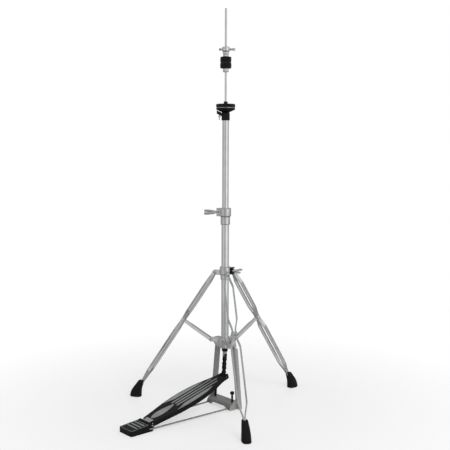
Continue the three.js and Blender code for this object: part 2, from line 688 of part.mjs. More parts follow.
function addHeelPlate() {
  const { half, front, back, frontZ, backZ, skin, rim, corner } = HEEL;
  const plan = new THREE.Shape();
  plan.moveTo(half, front);
  plan.lineTo(-half, front);
  plan.lineTo(-half, back + corner);
  plan.absarc(-half + corner, back + corner, corner, Math.PI, Math.PI * 1.5, false);
  plan.absarc(half - corner, back + corner, corner, -Math.PI / 2, 0, false);
  const profile = outline([[front, 0], [front, frontZ], [back, backZ], [back, 0]]);
  const fall = (frontZ - backZ) / (front - back);
  const inside = outline([
    [front + 4, -1], [front + 4, frontZ - skin + 4 * fall],
    [back + rim, backZ - skin + rim * fall], [back + rim, -1],
  ]);
  const reach = half - CHEEK.thick;
  const body = build({
    join: [slab(plan, 0, frontZ + 1, 4)],
    keep: [crossPlate(profile, -half - 1, half + 1)],
    cut: [crossPlate(inside, -reach, reach)],
  });
  const knuckles = [-1, 1].flatMap((side) => {
    const xs = side > 0 ? [14.6, 23.6] : [-23.6, -14.6];
    return [
      discAlongX(5, ...xs, HEEL_HINGE.y, HEEL_HINGE.z),
      block(xs, [front - 3, HEEL_HINGE.y], [13.5, 18.5]),
    ];
  });
  const pinBore = discAlongX(2.8, -40, 40, HEEL_HINGE.y, HEEL_HINGE.z);
  const rodBore = discAlongX(2.8, -40, 40, RADIUS_ROD.cross, RADIUS_ROD.height);
  const plate = build({
    join: [body, cheekPlate(1), cheekPlate(-1), ...knuckles],
    cut: [pinBore, rodBore],
  });
  place(stand, 'heel_plate', plate, BLACK_METAL);
  const pin = discAlongX(2.4, -half - 0.3, half + 0.3, HEEL_HINGE.y, HEEL_HINGE.z);
  place(stand, 'heel_hinge_pin', pin, STEEL);
}

// Roller chain hanging from the coupler to the toe pin: outer and inner plate pairs on rollers.
function addChain() {
  const slope = THREE.MathUtils.degToRad(BOARD_SLOPE_DEG);
  const toeY = HEEL_HINGE.y + TOE_PIN.s * Math.cos(slope) - TOE_PIN.n * Math.sin(slope);
  const toeZ = HEEL_HINGE.z + TOE_PIN.s * Math.sin(slope) + TOE_PIN.n * Math.cos(slope);
  const frame = new THREE.Group();
  frame.position.set(0, 0, CHAIN_TOP_Z);
  frame.rotation.x = -Math.atan2(-toeY, CHAIN_TOP_Z - toeZ);
  stand.add(frame);
  const pieces = [];
  for (let link = 0; link < CHAIN_LINKS; link++) {
    const near = link % 2 === 0 ? 3.9 : 2.6;
    const low = -(link + 1) * CHAIN_PITCH;
    const plate = new THREE.Shape();
    plate.absarc(0, low, 4.2, Math.PI, Math.PI * 2, false);
    plate.absarc(0, low + CHAIN_PITCH, 4.2, 0, Math.PI, false);
    pieces.push(crossPlate(plate, near, near + 1.4, 3));
    pieces.push(crossPlate(plate, -near - 1.4, -near, 3));
    if (link > 0) {
      pieces.push(discAlongX(2.4, -4.2, 4.2, 0, low + CHAIN_PITCH, 8));
    }
  }
  pieces.push(discAlongX(1.8, -6.2, 6.2, 0, 0, 10));
  const toeBore = discAlongX(3.4, -10, 10, 0, -CHAIN_LINKS * CHAIN_PITCH);
  const chain = build({ join: pieces, cut: [toeBore] });
  place(frame, 'drive_chain', chain, BLACK_METAL);
}

addBaseTube();
addHeightClamp();
addHub();
addUprights();
addBasePlate();
addRadiusRod();
addSpurs();
addCollar();
addLegs();
addUpperTube();
addSeat();
addPullRod();
addChainCoupler();
addClutch();
addFootboard();
addHeelPlate();
addChain();

export default group;
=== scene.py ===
"""Hi-hat stand: the finished look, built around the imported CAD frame.

Lengths are in millimetres in the stand's own frame: +Z up, the pedal towards -Y and the tube's axis
at x = y = 0. STAND carries them into the frame's metres.
"""
import json
from math import atan2, copysign, cos, pi, radians, sin, sqrt, tan, tau

import bpy
from mathutils import Euler, Matrix, Vector, noise


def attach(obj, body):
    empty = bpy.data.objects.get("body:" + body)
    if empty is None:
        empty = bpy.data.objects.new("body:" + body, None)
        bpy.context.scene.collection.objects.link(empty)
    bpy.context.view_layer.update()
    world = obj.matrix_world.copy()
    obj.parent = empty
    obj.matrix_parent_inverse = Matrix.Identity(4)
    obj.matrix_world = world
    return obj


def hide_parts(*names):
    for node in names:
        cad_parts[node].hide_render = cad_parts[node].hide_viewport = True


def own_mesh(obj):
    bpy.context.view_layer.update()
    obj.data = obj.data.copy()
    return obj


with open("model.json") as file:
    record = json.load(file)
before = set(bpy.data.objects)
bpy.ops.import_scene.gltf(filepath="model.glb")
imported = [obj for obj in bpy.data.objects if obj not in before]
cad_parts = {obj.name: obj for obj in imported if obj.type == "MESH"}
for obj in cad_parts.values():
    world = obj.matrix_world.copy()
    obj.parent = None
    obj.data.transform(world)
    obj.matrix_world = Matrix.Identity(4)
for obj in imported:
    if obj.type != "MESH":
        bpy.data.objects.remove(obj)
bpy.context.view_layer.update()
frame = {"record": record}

MM = 0.001
AXIS_Y = 23.5
STAND = Matrix.Scale(MM, 4) @ Matrix.Translation((0, AXIS_Y, 0))
BODY_OF = {n: b for b, nodes in frame["record"]["behaviour"]["bodies"].items() for n in nodes}
X, Y, Z = Vector((1, 0, 0)), Vector((0, 1, 0)), Vector((0, 0, 1))

# Where the parts of the frame are: azimuths in degrees from +X, radii and heights in millimetres.
SIDES = {"right": 1, "left": -1}
LEG_AZIMUTHS = {"right": -30, "rear": 90, "left": 210}
LEG_PIN = Vector((32, 0, 404))
LEG_MID = Vector((132, 0, 253))
FOOT_TOP = Vector((272, 0, 45))
HUB_PIN = Vector((44, 0, 201))
PIN_HOLE = 2.9
CLAMP_AZIMUTH = 229
COLLAR_WING_AZIMUTH = 30
CLUTCH_WING_AZIMUTH = 49
SEAT_BALL_Z = 893
TILTER_RADIUS = 18
TUBE_SOCKET = 9.825
SPUR_X = 38
SPUR_Y = -4
BOARD_SLOPE = radians(15.5)
HEEL_HINGE = Vector((0, -287, 16))
CLUTCH_WING_Z = 1051
CLAMP_WING_Z = 583
COLLAR_WING_Z = 411
CHAIN_TOP_Z = 156
ROD_CROSS = (-297, 9)
ROD_SPREAD = 44
CHAIN_PITCH = 12.7
CHAIN_LINKS = 5


# ---------------- camera, floor and light
CAMERA_AZIMUTH = radians(48.7)
CAMERA_DISTANCE = 2.253
CAMERA_HEIGHT = 0.762
CAMERA_PITCH = radians(5.5)
CAMERA_LENS = 61.8
CAMERA_ROLL = radians(0.2)
CAMERA_SHIFT = -0.0006
LAMP_AIM = 0.55


def new_object(name, data):
    """An object of the scene round a mesh, lamp or camera."""
    made = bpy.data.objects.new(name, data)
    bpy.context.scene.collection.objects.link(made)
    return made


def make_camera():
    data = bpy.data.cameras.new("camera")
    data.lens = CAMERA_LENS
    data.sensor_width = 36
    data.clip_start = 0.05
    data.clip_end = 60
    data.shift_x = CAMERA_SHIFT
    camera = new_object("camera", data)
    camera.location = (
        CAMERA_DISTANCE * sin(CAMERA_AZIMUTH),
        AXIS_Y * MM - CAMERA_DISTANCE * cos(CAMERA_AZIMUTH),
        CAMERA_HEIGHT,
    )
    level = Euler((pi / 2 - CAMERA_PITCH, 0, CAMERA_AZIMUTH)).to_matrix()
    camera.rotation_euler = (level @ Matrix.Rotation(CAMERA_ROLL, 3, "Z")).to_euler()
    bpy.context.scene.camera = camera


# ---------------- procedural materials
class Nodes:
    """A node tree built by short calls. Inputs go by name, or by place as _0, _1 and so on."""

    def __init__(self, tree):
        self.tree = tree

    def join(self, value, socket):
        """Links another node's socket, or sets a plain value."""
        if isinstance(value, bpy.types.NodeSocket):
            self.tree.links.new(value, socket)
        else:
            socket.default_value = value

    def node(self, kind, **inputs):
        made = self.tree.nodes.new("ShaderNode" + kind)
        for name, value in inputs.items():
            self.join(value, made.inputs[int(name[1:]) if name[0] == "_" else name.replace("_", " ")])
        return made

    def ramp(self, factor, low, high, start=0.3, end=0.7):
        """The factor from start to end, spread to the range from low to high."""
        return self.node("MapRange", _0=factor, _1=start, _2=end, _3=low, _4=high).outputs[0]

    def mix(self, factor, first, second):
        made = self.node("Mix", _0=factor)
        made.data_type = "RGBA"
        for place, value in ((6, first), (7, second)):
            self.join((*value, 1) if isinstance(value, tuple) else value, made.inputs[place])
        return made.outputs[2]


class Shader(Nodes):
    """A material with one Principled shader."""

    def __init__(self, name, colour, roughness, metallic=0.0, **constants):
        self.material = bpy.data.materials.new(name)
        self.material.use_nodes = True
        super().__init__(self.material.node_tree)
        self.surface = self.tree.nodes["Principled BSDF"]
        constants.update(Base_Color=(*colour, 1), Roughness=roughness, Metallic=metallic)
        for socket, value in constants.items():
            self.surface.inputs[socket.replace("_", " ")].default_value = value
        self.coordinates = self.node("TexCoord").outputs["Object"]

    def noise(self, scale, detail, stretch=(1, 1, 1), roughness=0.55):
        place = self.node("Mapping", Vector=self.coordinates, Scale=stretch).outputs[0]
        made = self.node("TexNoise", Vector=place, Scale=scale, Detail=detail, Roughness=roughness)
        return made.outputs["Fac"]

    def colour(self, source):
        self.join(source, self.surface.inputs["Base Color"])

    def roughness(self, cloud, *limits):
        """Spreads a cloud to the limits that ramp takes."""
        self.join(self.ramp(cloud, *limits), self.surface.inputs["Roughness"])

    def patches(self, cloud, tone, times, plus, fade):
        """Drifts from the tone to times the tone plus a little, as the cloud goes through the fade."""
        other = tuple(times * c + plus for c in tone)
        self.colour(self.mix(self.ramp(cloud, 0, 1, *fade), tone, other))

    def bump(self, height, depth_mm, strength):
        normal = self.surface.inputs["Normal"]
        made = self.node("Bump", Height=height, Distance=depth_mm * MM, Strength=strength)
        if normal.links:
            self.join(normal.links[0].from_socket, made.inputs["Normal"])
        self.join(made.outputs[0], normal)

    def grain(self, scale, detail, depth_mm, strength):
        self.bump(self.noise(scale, detail), depth_mm, strength)


def chrome(name, tone, roughness, grain_mm, wave_mm=0.0):
    """Chrome plate: a clear mirror with faint haze, wipe marks and, on castings, a soft waviness."""
    made = Shader(name, tone, roughness, 1.0)
    made.patches(made.noise(45, 4), tone, 0.86, 0, (0.35, 0.75))
    wipes = made.noise(220, 2, stretch=(1, 1, 0.12))
    made.roughness(wipes, roughness * 0.7, roughness * 1.9, 0.35, 0.7)
    made.grain(900, 2, grain_mm, 0.25)
    if wave_mm:
        made.grain(120, 3, wave_mm, 0.6)
    return made.material


def plated_steel(name, tone, roughness):
    """Zinc-plated steel: dull silver with a brushed grain along Z and cloudy passivation."""
    made = Shader(name, tone, roughness, 1.0)
    made.patches(made.noise(90, 4), tone, 0.7, 0, (0.3, 0.7))
    brushed = made.noise(1400, 2, stretch=(1, 1, 0.06))
    made.roughness(brushed, roughness * 0.75, roughness * 1.35)
    made.bump(brushed, 0.02, 0.5)
    return made.material


def enamel(name, tone, worn, roughness):
    """Sprayed enamel: orange peel, faint cloudiness and sparse small scuffs that show a lighter coat."""
    made = Shader(name, tone, roughness, 0.15, Coat_Weight=0.25, Coat_Roughness=0.25)
    cloud = made.noise(28, 4)
    light = tuple(1.12 * c for c in tone)
    body = made.mix(made.ramp(cloud, 0, 1, 0.3, 0.7), tone, light)
    scuffs = made.ramp(made.noise(160, 5, stretch=(1, 1, 0.35), roughness=0.7), 0, 1, 0.66, 0.7)
    made.colour(made.mix(scuffs, body, worn))
    made.roughness(cloud, roughness * 0.85, roughness * 1.2)
    made.grain(650, 2, 0.05, 0.5)
    return made.material


def powder_coat(name, tone, roughness):
    """Satin black powder coat with its fine pebbled skin and a little dust in soft patches."""
    made = Shader(name, tone, roughness, Specular_IOR_Level=0.13)
    cloud = made.noise(40, 5)
    made.patches(cloud, tone, 1, 0.005, (0.45, 0.75))
    made.roughness(cloud, roughness * 0.85, roughness * 1.25)
    made.grain(1100, 3, 0.07, 0.6)
    return made.material


def nylon(name, tone, roughness):
    """Moulded black nylon: even satin surface with faint flow marks."""
    made = Shader(name, tone, roughness, Specular_IOR_Level=0.2)
    flow = made.noise(70, 3, stretch=(1, 1, 0.3))
    made.patches(flow, tone, 1.5, 0.003, (0.35, 0.7))
    made.roughness(flow, roughness * 0.8, roughness * 1.2)
    made.grain(1600, 2, 0.03, 0.5)
    return made.material


def felt(name, tone):
    """Pressed wool felt: matted fibres, stray lighter hairs and a soft edge glow."""
    made = Shader(name, tone, 0.95, Sheen_Weight=0.25, Sheen_Roughness=0.5, Specular_IOR_Level=0.1)
    fibre = made.noise(1500, 5, roughness=0.75)
    made.patches(fibre, tone, 2, 0.004, (0.45, 0.75))
    made.bump(fibre, 0.35, 0.9)
    made.grain(260, 3, 0.5, 0.6)
    return made.material


def rubber(name, tone):
    """Moulded rubber foot: matt, finely grained, with grey scuffs."""
    made = Shader(name, tone, 0.68, Specular_IOR_Level=0.2)
    cloud = made.noise(60, 5)
    made.patches(cloud, tone, 1, 0.008, (0.5, 0.8))
    made.roughness(cloud, 0.55, 0.8)
    made.grain(900, 3, 0.08, 0.6)
    return made.material


def tread(name, tone):
    """Silver-grey printed rubber tread on the pedal, with a fine sandy grip."""
    made = Shader(name, tone, 0.5, 0.35)
    cloud = made.noise(50, 5)
    made.patches(cloud, tone, 0.8, 0, (0.35, 0.7))
    made.roughness(cloud, 0.4, 0.62)
    sand = made.node("TexVoronoi", Vector=made.coordinates, Scale=1300)
    made.bump(sand.outputs["Distance"], 0.1, 0.5)
    return made.material


CHROME_TUBE = chrome("plated_tube", (0.86, 0.87, 0.88), 0.05, 0.004)
CHROME_STRIP = chrome("plated_strip", (0.80, 0.81, 0.81), 0.09, 0.01, 0.03)
CHROME_FITTING = chrome("plated_fitting", (0.85, 0.86, 0.87), 0.07, 0.006, 0.02)
CHROME_CAST = chrome("plated_casting", (0.74, 0.745, 0.74), 0.16, 0.03, 0.12)
STEEL = plated_steel("zinc_steel", (0.58, 0.58, 0.57), 0.32)
GREY_ENAMEL = enamel("light_enamel", (0.345, 0.35, 0.332), (0.55, 0.55, 0.53), 0.42)
DARK_ENAMEL = enamel("deep_enamel", (0.25, 0.252, 0.245), (0.36, 0.36, 0.36), 0.48)
BLACK_COAT = powder_coat("black_powder_coat", (0.007, 0.007, 0.0075), 0.42)
BLACK_NYLON = nylon("black_moulding", (0.006, 0.006, 0.0065), 0.38)
FELT = felt("wool_felt", (0.006, 0.006, 0.0065))
RUBBER = rubber("grained_rubber", (0.008, 0.008, 0.0085))
TREAD = tread("silver_tread", (0.42, 0.43, 0.43))


def mesh_data(name, mesh):
    """Blender mesh from (points, faces), turned inside out where its volume comes out negative."""
    points, faces = mesh
    points = [Vector(p) for p in points]
    volume = sum(
        points[f[0]].dot(points[f[k]].cross(points[f[k + 1]])) for f in faces for k in range(1, len(f) - 1)
    )
    if volume < 0:
        faces = [tuple(reversed(f)) for f in faces]
    data = bpy.data.meshes.new(name)
    data.from_pydata(points, [], faces)
    data.validate()
    return data


def settle(made):
    """Turns what the object's modifiers show into its own mesh."""
    graph = bpy.context.evaluated_depsgraph_get()
    data = bpy.data.meshes.new_from_object(made.evaluated_get(graph))
    made.modifiers.clear()
    made.data = data


def combine(made, meshes, operation):
    for mesh in meshes:
        other = new_object("tool", mesh_data("tool", mesh))
        step = made.modifiers.new("step", "BOOLEAN")
        step.operation = operation
        step.solver = "EXACT"
        step.object = other
        settle(made)
        bpy.data.objects.remove(other)


def recast(made, voxel):
    """Rounds every edge and inner corner as a casting has them."""
    grid = made.modifiers.new("grid", "REMESH")
    grid.mode = "VOXEL"
    grid.voxel_size = voxel
    soft = made.modifiers.new("soft", "SMOOTH")
    soft.factor = 0.5
    soft.iterations = 3
    settle(made)


def piece(name, meshes, material, node=None, body=None, cuts=(), bevel=0.0, voxel=0.0, sharp=38):
    """One object: the joined shapes less the cuts, in the stand's millimetres, standing for its CAD node."""
    made = new_object(name, mesh_data(name, meshes[0]))
    combine(made, meshes[1:], "UNION")
    combine(made, cuts, "DIFFERENCE")
    if voxel:
        recast(made, voxel)
    data = made.data
    data.name = name
    data.transform(STAND)
    data.materials.clear()
    data.materials.append(material)
    data.polygons.foreach_set("use_smooth", [True] * len(data.polygons))
    data.set_sharp_from_angle(angle=radians(sharp))
    if bevel:
        edge = made.modifiers.new("edge", "BEVEL")
        edge.width = bevel * MM
        edge.segments = 3
        edge.limit_method = "ANGLE"
        edge.angle_limit = radians(40)
    if node:
        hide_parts(node)
    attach(made, body or BODY_OF[node])
    return made


def cad_piece(node, finish, meshes, material, **options):
    """A piece that is named after the one CAD node it stands for."""
    return piece(f"{node}_{finish}", meshes, material, node, **options)


def placed(mesh, matrix):
    points, faces = mesh
    return [matrix @ Vector(p) for p in points], faces


def all_placed(meshes, matrix):
    return [placed(mesh, matrix) for mesh in meshes]


def shift(x, y, z):
    return Matrix.Translation((x, y, z))


def spread(start, end, steps):
    """Evenly spaced values, both ends included."""
    return [start + (end - start) * k / steps for k in range(steps + 1)]


def rectangle(xs, ys):
    return [(xs[0], ys[0]), (xs[1], ys[0]), (xs[1], ys[1]), (xs[0], ys[1])]


def turn_z(degrees):
    return Matrix.Rotation(radians(degrees), 4, "Z")


def per_leg(mesh):
    """The shape once for each leg, turned to the leg's azimuth."""
    return [placed(mesh, turn_z(azimuth)) for azimuth in LEG_AZIMUTHS.values()]


def polar(radius, angle, z=0.0):
    return Vector((radius * cos(angle), radius * sin(angle), z))


def along(start, end):
    """Frame of a radial plane with +X from start to end and +Y sideways."""
    out = (end - start).normalized()
    basis = Matrix((out, Y, out.cross(Y))).transposed().to_4x4()
    return Matrix.Translation(start) @ basis


def soften(points, radius, steps=3, closed=True):
    """The outline with each corner rounded by about that radius."""
    points = [Vector(p) for p in points]
    count = len(points)
    result = []
    for i, corner in enumerate(points):
        if not closed and i in (0, count - 1):
            result.append(corner)
            continue
        before = points[i - 1] - corner
        after = points[(i + 1) % count] - corner
        if before.length < 1e-6 or after.length < 1e-6:
            continue
        start = corner + before.normalized() * min(radius, before.length * 0.45)
        end = corner + after.normalized() * min(radius, after.length * 0.45)
        for k in range(steps + 1):
            t = k / steps
            result.append(start * (1 - t) ** 2 + corner * 2 * t * (1 - t) + end * t ** 2)
    return result


def lathe(profile, segments=64):
    """Turned solid about Z from (radius, z) points, the outside going up."""
    closed = tuple(profile[0]) == tuple(profile[-1])
    rows, vertices, faces = [], [], []
    for radius, z in profile[:-1] if closed else profile:
        if radius < 1e-6:
            rows.append([len(vertices)] * segments)
            vertices.append(Vector((0, 0, z)))
            continue
        rows.append(list(range(len(vertices), len(vertices) + segments)))
        vertices += [polar(radius, tau * i / segments, z) for i in range(segments)]
    if closed:
        rows.append(rows[0])
    for lower, upper in zip(rows, rows[1:]):
        for i in range(segments):
            j = (i + 1) % segments
            face = list(dict.fromkeys((lower[i], lower[j], upper[j], upper[i])))
            if len(face) > 2:
                faces.append(face)
    return vertices, faces


def looped(profile):
    return list(profile) + [profile[0]]


def ring(inner, outer, low, high, round_mm, segments):
    return lathe(looped(soften(rectangle((inner, outer), (low, high)), round_mm)), segments)


def disc(radius, low, high, round_mm, segments):
    return lathe(soften(rectangle((0, radius), (low, high)), round_mm, closed=False), segments)


def cylinder(radius, low, high, segments=24):
    """Straight-sided disc, its edges all but sharp."""
    return disc(radius, low, high, 0.01, segments)


def aim(direction):
    """Frame whose +Z points along a direction, for turned pieces that don't stand upright."""
    return direction.to_track_quat("Z", "Y").to_matrix().to_4x4()


def loft(rings, closed_path=False):
    """Skin through rings of equal count; the ends are closed unless the path closes on itself."""
    count = len(rings[0])
    levels = len(rings)
    vertices = [Vector(p) for points in rings for p in points]
    faces = []
    for level in range(levels if closed_path else levels - 1):
        a = level * count
        b = ((level + 1) % levels) * count
        for i in range(count):
            j = (i + 1) % count
            faces.append((a + i, a + j, b + j, b + i))
    if not closed_path:
        faces.append(tuple(reversed(range(count))))
        faces.append(tuple(range((levels - 1) * count, levels * count)))
    return vertices, faces


def prism(outline, low, high):
    """Plate drawn in X-Y, from z = low to z = high."""
    return loft([[(x, y, low) for x, y, *_ in outline], [(x, y, high) for x, y, *_ in outline]])


STAND_UP = Matrix.Rotation(pi / 2, 4, "X")
CROSSWISE = Matrix(((0, 0, 1, 0), (1, 0, 0, 0), (0, 1, 0, 0), (0, 0, 0, 1)))
X_FOR_Z = Matrix(((0, 0, 1, 0), (0, 1, 0, 0), (1, 0, 0, 0), (0, 0, 0, 1)))


def side_plate(outline, half):
    """Plate drawn in X-Z, centred on y = 0."""
    return placed(prism(outline, -half, half), STAND_UP)


def cross_plate(outline, low, high):
    """Plate drawn in Y-Z, between two values of x."""
    return placed(prism(outline, low, high), CROSSWISE)


def arc(centre, radius, start, end, steps=10):
    angles = [radians(a) for a in spread(start, end, steps)]
    return [(centre[0] + radius * cos(a), centre[1] + radius * sin(a)) for a in angles]


def spline(points, per_span):
    """Smooth curve through the points."""
    points = [Vector(p) for p in points]
    result = []
    for i in range(len(points) - 1):
        p0 = points[max(i - 1, 0)]
        p1, p2 = points[i], points[i + 1]
        p3 = points[min(i + 2, len(points) - 1)]
        for k in range(per_span):
            t = k / per_span
            result.append(0.5 * (
                2 * p1 + (p2 - p0) * t + (2 * p0 - 5 * p1 + 4 * p2 - p3) * t ** 2
                + (3 * p1 - p0 - 3 * p2 + p3) * t ** 3
            ))
    result.append(points[-1])
    return result


def wing_screw(shank_r, shank, hub_r, hub, span, reach, thick, roll):
    """Wing screw along +X with two cast wings that open like a V."""
    tip = span / 2
    side = [
        (hub * 0.1, hub_r * 0.7), (hub * 0.8, hub_r * 1.05), (reach * 0.4, tip * 0.72),
        (reach * 0.68, tip), (reach * 0.92, tip * 0.98), (reach, tip * 0.74),
        (reach * 0.96, tip * 0.48), (reach * 0.66, tip * 0.3), (hub * 1.25, hub_r * 0.25),
    ]
    upper = spline(side, 4)
    outline = [(x, -y) for x, y in upper] + upper[::-1]
    wings = prism(outline, -thick / 2, thick / 2)
    body = placed(disc(hub_r, 0, hub, 0.8, 32), aim(X))
    stem = placed(disc(shank_r, -shank, hub * 0.5, 0.3, 24), aim(X))
    return all_placed((wings, body, stem), Matrix.Rotation(radians(roll), 4, "X"))


# ---------------- the stage
def make_floor():
    """Pale matt floor that carries the stand's soft shadow and fades out within a metre."""
    radius, sides = 14.0, 96
    data = bpy.data.meshes.new("floor")
    data.from_pydata([polar(radius, tau * i / sides) for i in range(sides)], [], [range(sides)])
    floor = new_object("floor", data)
    made = Shader("floor", (0.93, 0.93, 0.93), 0.9, Specular_IOR_Level=0.1)
    distance = made.node("VectorMath", Vector=made.coordinates)
    distance.operation = "LENGTH"
    fade = made.ramp(distance.outputs["Value"], 0.6, 1, 0.35, 0.95)
    clear = made.node("BsdfTransparent")
    blend = made.node("MixShader", _0=fade, _1=made.surface.outputs[0], _2=clear.outputs[0])
    made.join(blend.outputs[0], made.tree.nodes["Material Output"].inputs["Surface"])
    data.materials.append(made.material)


# Brightness of the studio around the stand, by azimuth: 0 looks along +Y, turning left.
STUDIO = [
    (0, 0.40), (30, 0.3), (60, 0.36), (90, 0.5), (115, 0.34), (138, 0.4), (165, 0.55), (188, 0.62),
    (214, 0.4), (238, 0.48), (258, 0.8), (274, 1.0), (290, 0.8), (308, 0.58), (332, 0.52), (360, 0.40),
]
CEILING = 0.4
GROUND = 0.1


def make_world():
    """White behind the stand, and a studio of bright and dark panels all round for the chrome to show."""
    world = bpy.data.worlds.new("studio")
    bpy.context.scene.world = world
    world.use_nodes = True
    made = Nodes(world.node_tree)
    made.tree.nodes.clear()
    view = made.node("TexCoord").outputs["Generated"]
    quarter = made.node("Mapping", Vector=view, Rotation=(0, 0, pi / 2))
    azimuth = made.node("TexGradient", Vector=quarter.outputs[0])
    azimuth.gradient_type = "RADIAL"
    panels = made.node("ValToRGB", Fac=azimuth.outputs["Fac"])
    panels.color_ramp.interpolation = "EASE"
    stops = panels.color_ramp.elements
    stops.remove(stops[0])
    for index, (degrees, level) in enumerate(STUDIO):
        stop = stops[0] if index == 0 else stops.new(degrees / 360)
        stop.position = degrees / 360
        stop.color = (level, level, level, 1)
    height = made.node("SeparateXYZ", Vector=view).outputs["Z"]
    above = made.mix(made.ramp(height, 0, 1, 0.35, 0.85), panels.outputs["Color"], (CEILING,) * 3)
    around = made.mix(made.ramp(height, 0, 1, -0.22, -0.5), above, (GROUND,) * 3)
    studio = made.node("Background", Color=around)
    white = made.node("Background", Color=(1, 1, 1, 1))
    seen = made.node("LightPath").outputs["Is Camera Ray"]
    choice = made.node("MixShader", _0=seen, _1=studio.outputs[0], _2=white.outputs[0])
    made.node("OutputWorld", Surface=choice.outputs[0])


def make_light(name, azimuth, distance, height, size, power):
    """Soft square lamp turned to the stand, at an azimuth from the camera's side. No surface mirrors it."""
    data = bpy.data.lights.new(name, "AREA")
    data.shape = "SQUARE"
    data.size = size
    data.energy = power
    light = new_object(name, data)
    light.visible_glossy = False
    angle = CAMERA_AZIMUTH + radians(azimuth)
    light.location = (distance * sin(angle), AXIS_Y * MM - distance * cos(angle), height)
    toward = Vector((0, AXIS_Y * MM, LAMP_AIM)) - light.location
    light.rotation_euler = toward.to_track_quat("-Z", "Y").to_euler()


def make_stage():
    make_camera()
    make_floor()
    make_world()
    make_light("key", 30, 2.4, 2.3, 1.1, 30)
    make_light("fill", 8, 2.8, 1.5, 1.5, 11)
    make_light("back", 170, 2.6, 2.2, 1.2, 16)
    bpy.context.scene.view_settings.view_transform = "Standard"


make_stage()


# ---------------- tubes, rods and return spring
NUT_STEPS = 72


def make_column():
    cad_piece("base_tube", "plated", [ring(9.9, 11.1, 184.4, 572, 0.5, 96)], CHROME_TUBE)
    cad_piece("upper_tube", "plated", [ring(8.2, 9.525, 480, 865, 0.5, 96)], CHROME_TUBE)
    bush = [(TUBE_SOCKET, 573), (11.1, 573), (11.1, 591), (10.7, 594), (TUBE_SOCKET, 594)]
    cad_piece("tube_bush", "moulded", [lathe(looped(soften(bush, 0.4)))], BLACK_NYLON)
    guide = [(3.4, 168.4), (8, 168.4), (9, 169.4), (9, 179), (3.4, 179)]
    piece("rod_guide_moulded", [lathe(looped(soften(guide, 0.5)))], BLACK_NYLON, "rod_guide_bush")


def make_rods():
    lower = [(0, 161.9), (3, 161.9), (3, 296), (8, 296), (8, 302), (3, 302), (3, 499.7), (0, 499.7)]
    cad_piece("lower_rod", "turned", [lathe(soften(lower, 0.5, closed=False), 32)], STEEL)
    tip = [(3 * cos(a), 1164.6 + 2.4 * sin(a)) for a in (0, 0.35, 0.7, 1.0, 1.3)]
    upper = [(0, 500.3), (2.7, 500.3), (3, 500.7)] + tip + [(0, 1167)]
    cad_piece("upper_rod", "plated", [lathe(upper, 40)], CHROME_TUBE)
    cad_piece("rod_coupling", "turned", [knurled(6, 3.3, 487, 513, 30, 0.25)], STEEL)
    spring = cad_piece("return_spring", "wound", [coil_spring(7.2, 1.0, 186.2, 294, 12)], STEEL)
    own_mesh(spring)


def limited(share):
    return min(max(share, 0), 1)


def coil_spring(radius, wire, low, high, turns):
    """Round wire wound about Z, with closed end turns."""
    per_turn, around = 20, 10
    end, end_climb = 0.06, 0.03
    steps = turns * per_turn
    rings = []
    for i in range(steps + 1):
        share = i / steps
        middle = limited((share - end) / (1 - 2 * end))
        eased = 0.75 * middle + 0.25 * (0.5 - 0.5 * cos(pi * middle))
        ends = limited(share / end) + limited((share - 1 + end) / end)
        z = low + (high - low) * (end_climb * ends + (1 - 2 * end_climb) * eased)
        angle = tau * turns * share
        rim = [-tau * k / around for k in range(around)]
        rings.append([polar(radius + wire * cos(a), angle, z + wire * sin(a)) for a in rim])
    return loft(rings)


def wavy_ring(radius, z, count=1, depth=0.0, segments=NUT_STEPS, power=1.0):
    """Ring whose radius dips by depth count times on its way round."""
    points = []
    for i in range(segments):
        angle = tau * i / segments
        wave = abs(sin(angle * count / 2)) ** power
        points.append(polar(radius - depth * (1 - wave), angle, z))
    return points


def knurled(outer, bore, low, high, count, depth, edge=0.8):
    """Collar with a bore and a knurled rim between chamfered ends."""
    levels = [
        (outer - edge, low, 0), (outer - 0.1, low + edge, 0), (outer, low + edge * 1.3, depth),
        (outer, high - edge * 1.3, depth), (outer - 0.1, high - edge, 0), (outer - edge, high, 0),
        (bore, high, 0), (bore, low, 0),
    ]
    rings = [wavy_ring(radius, z, count, dip, count * 6) for radius, z, dip in levels]
    return loft(rings, closed_path=True)


def hex_ring(apothem, z, limit):
    """Hexagon whose corners are turned down to the limiting radius."""
    points = []
    for i in range(NUT_STEPS):
        angle = tau * i / NUT_STEPS
        flat = apothem / cos(angle % (pi / 3) - pi / 6)
        points.append(polar(min(flat, limit), angle, z))
    return points


def hex_nut(across_corners, bore, low, high):
    """Hexagon nut with a bore and the usual chamfer arcs on its corners."""
    corner = across_corners / 2
    apothem = corner * cos(pi / 6)
    drop = (corner - apothem) * 0.6
    levels = [(low, apothem * 0.97), (low + drop, corner), (high - drop, corner), (high, apothem * 0.97)]
    rings = [hex_ring(apothem, z, limit) for z, limit in levels]
    return loft(rings + [wavy_ring(bore, high), wavy_ring(bore, low)], closed_path=True)


# ---------------- cymbal seat
def ball_arc(radius, start, end, steps):
    """Profile points on the seat's ball, whose centre is above them, from one turning radius to another."""
    return [(r, SEAT_BALL_Z - sqrt(radius * radius - r * r)) for r in spread(start, end, steps)]


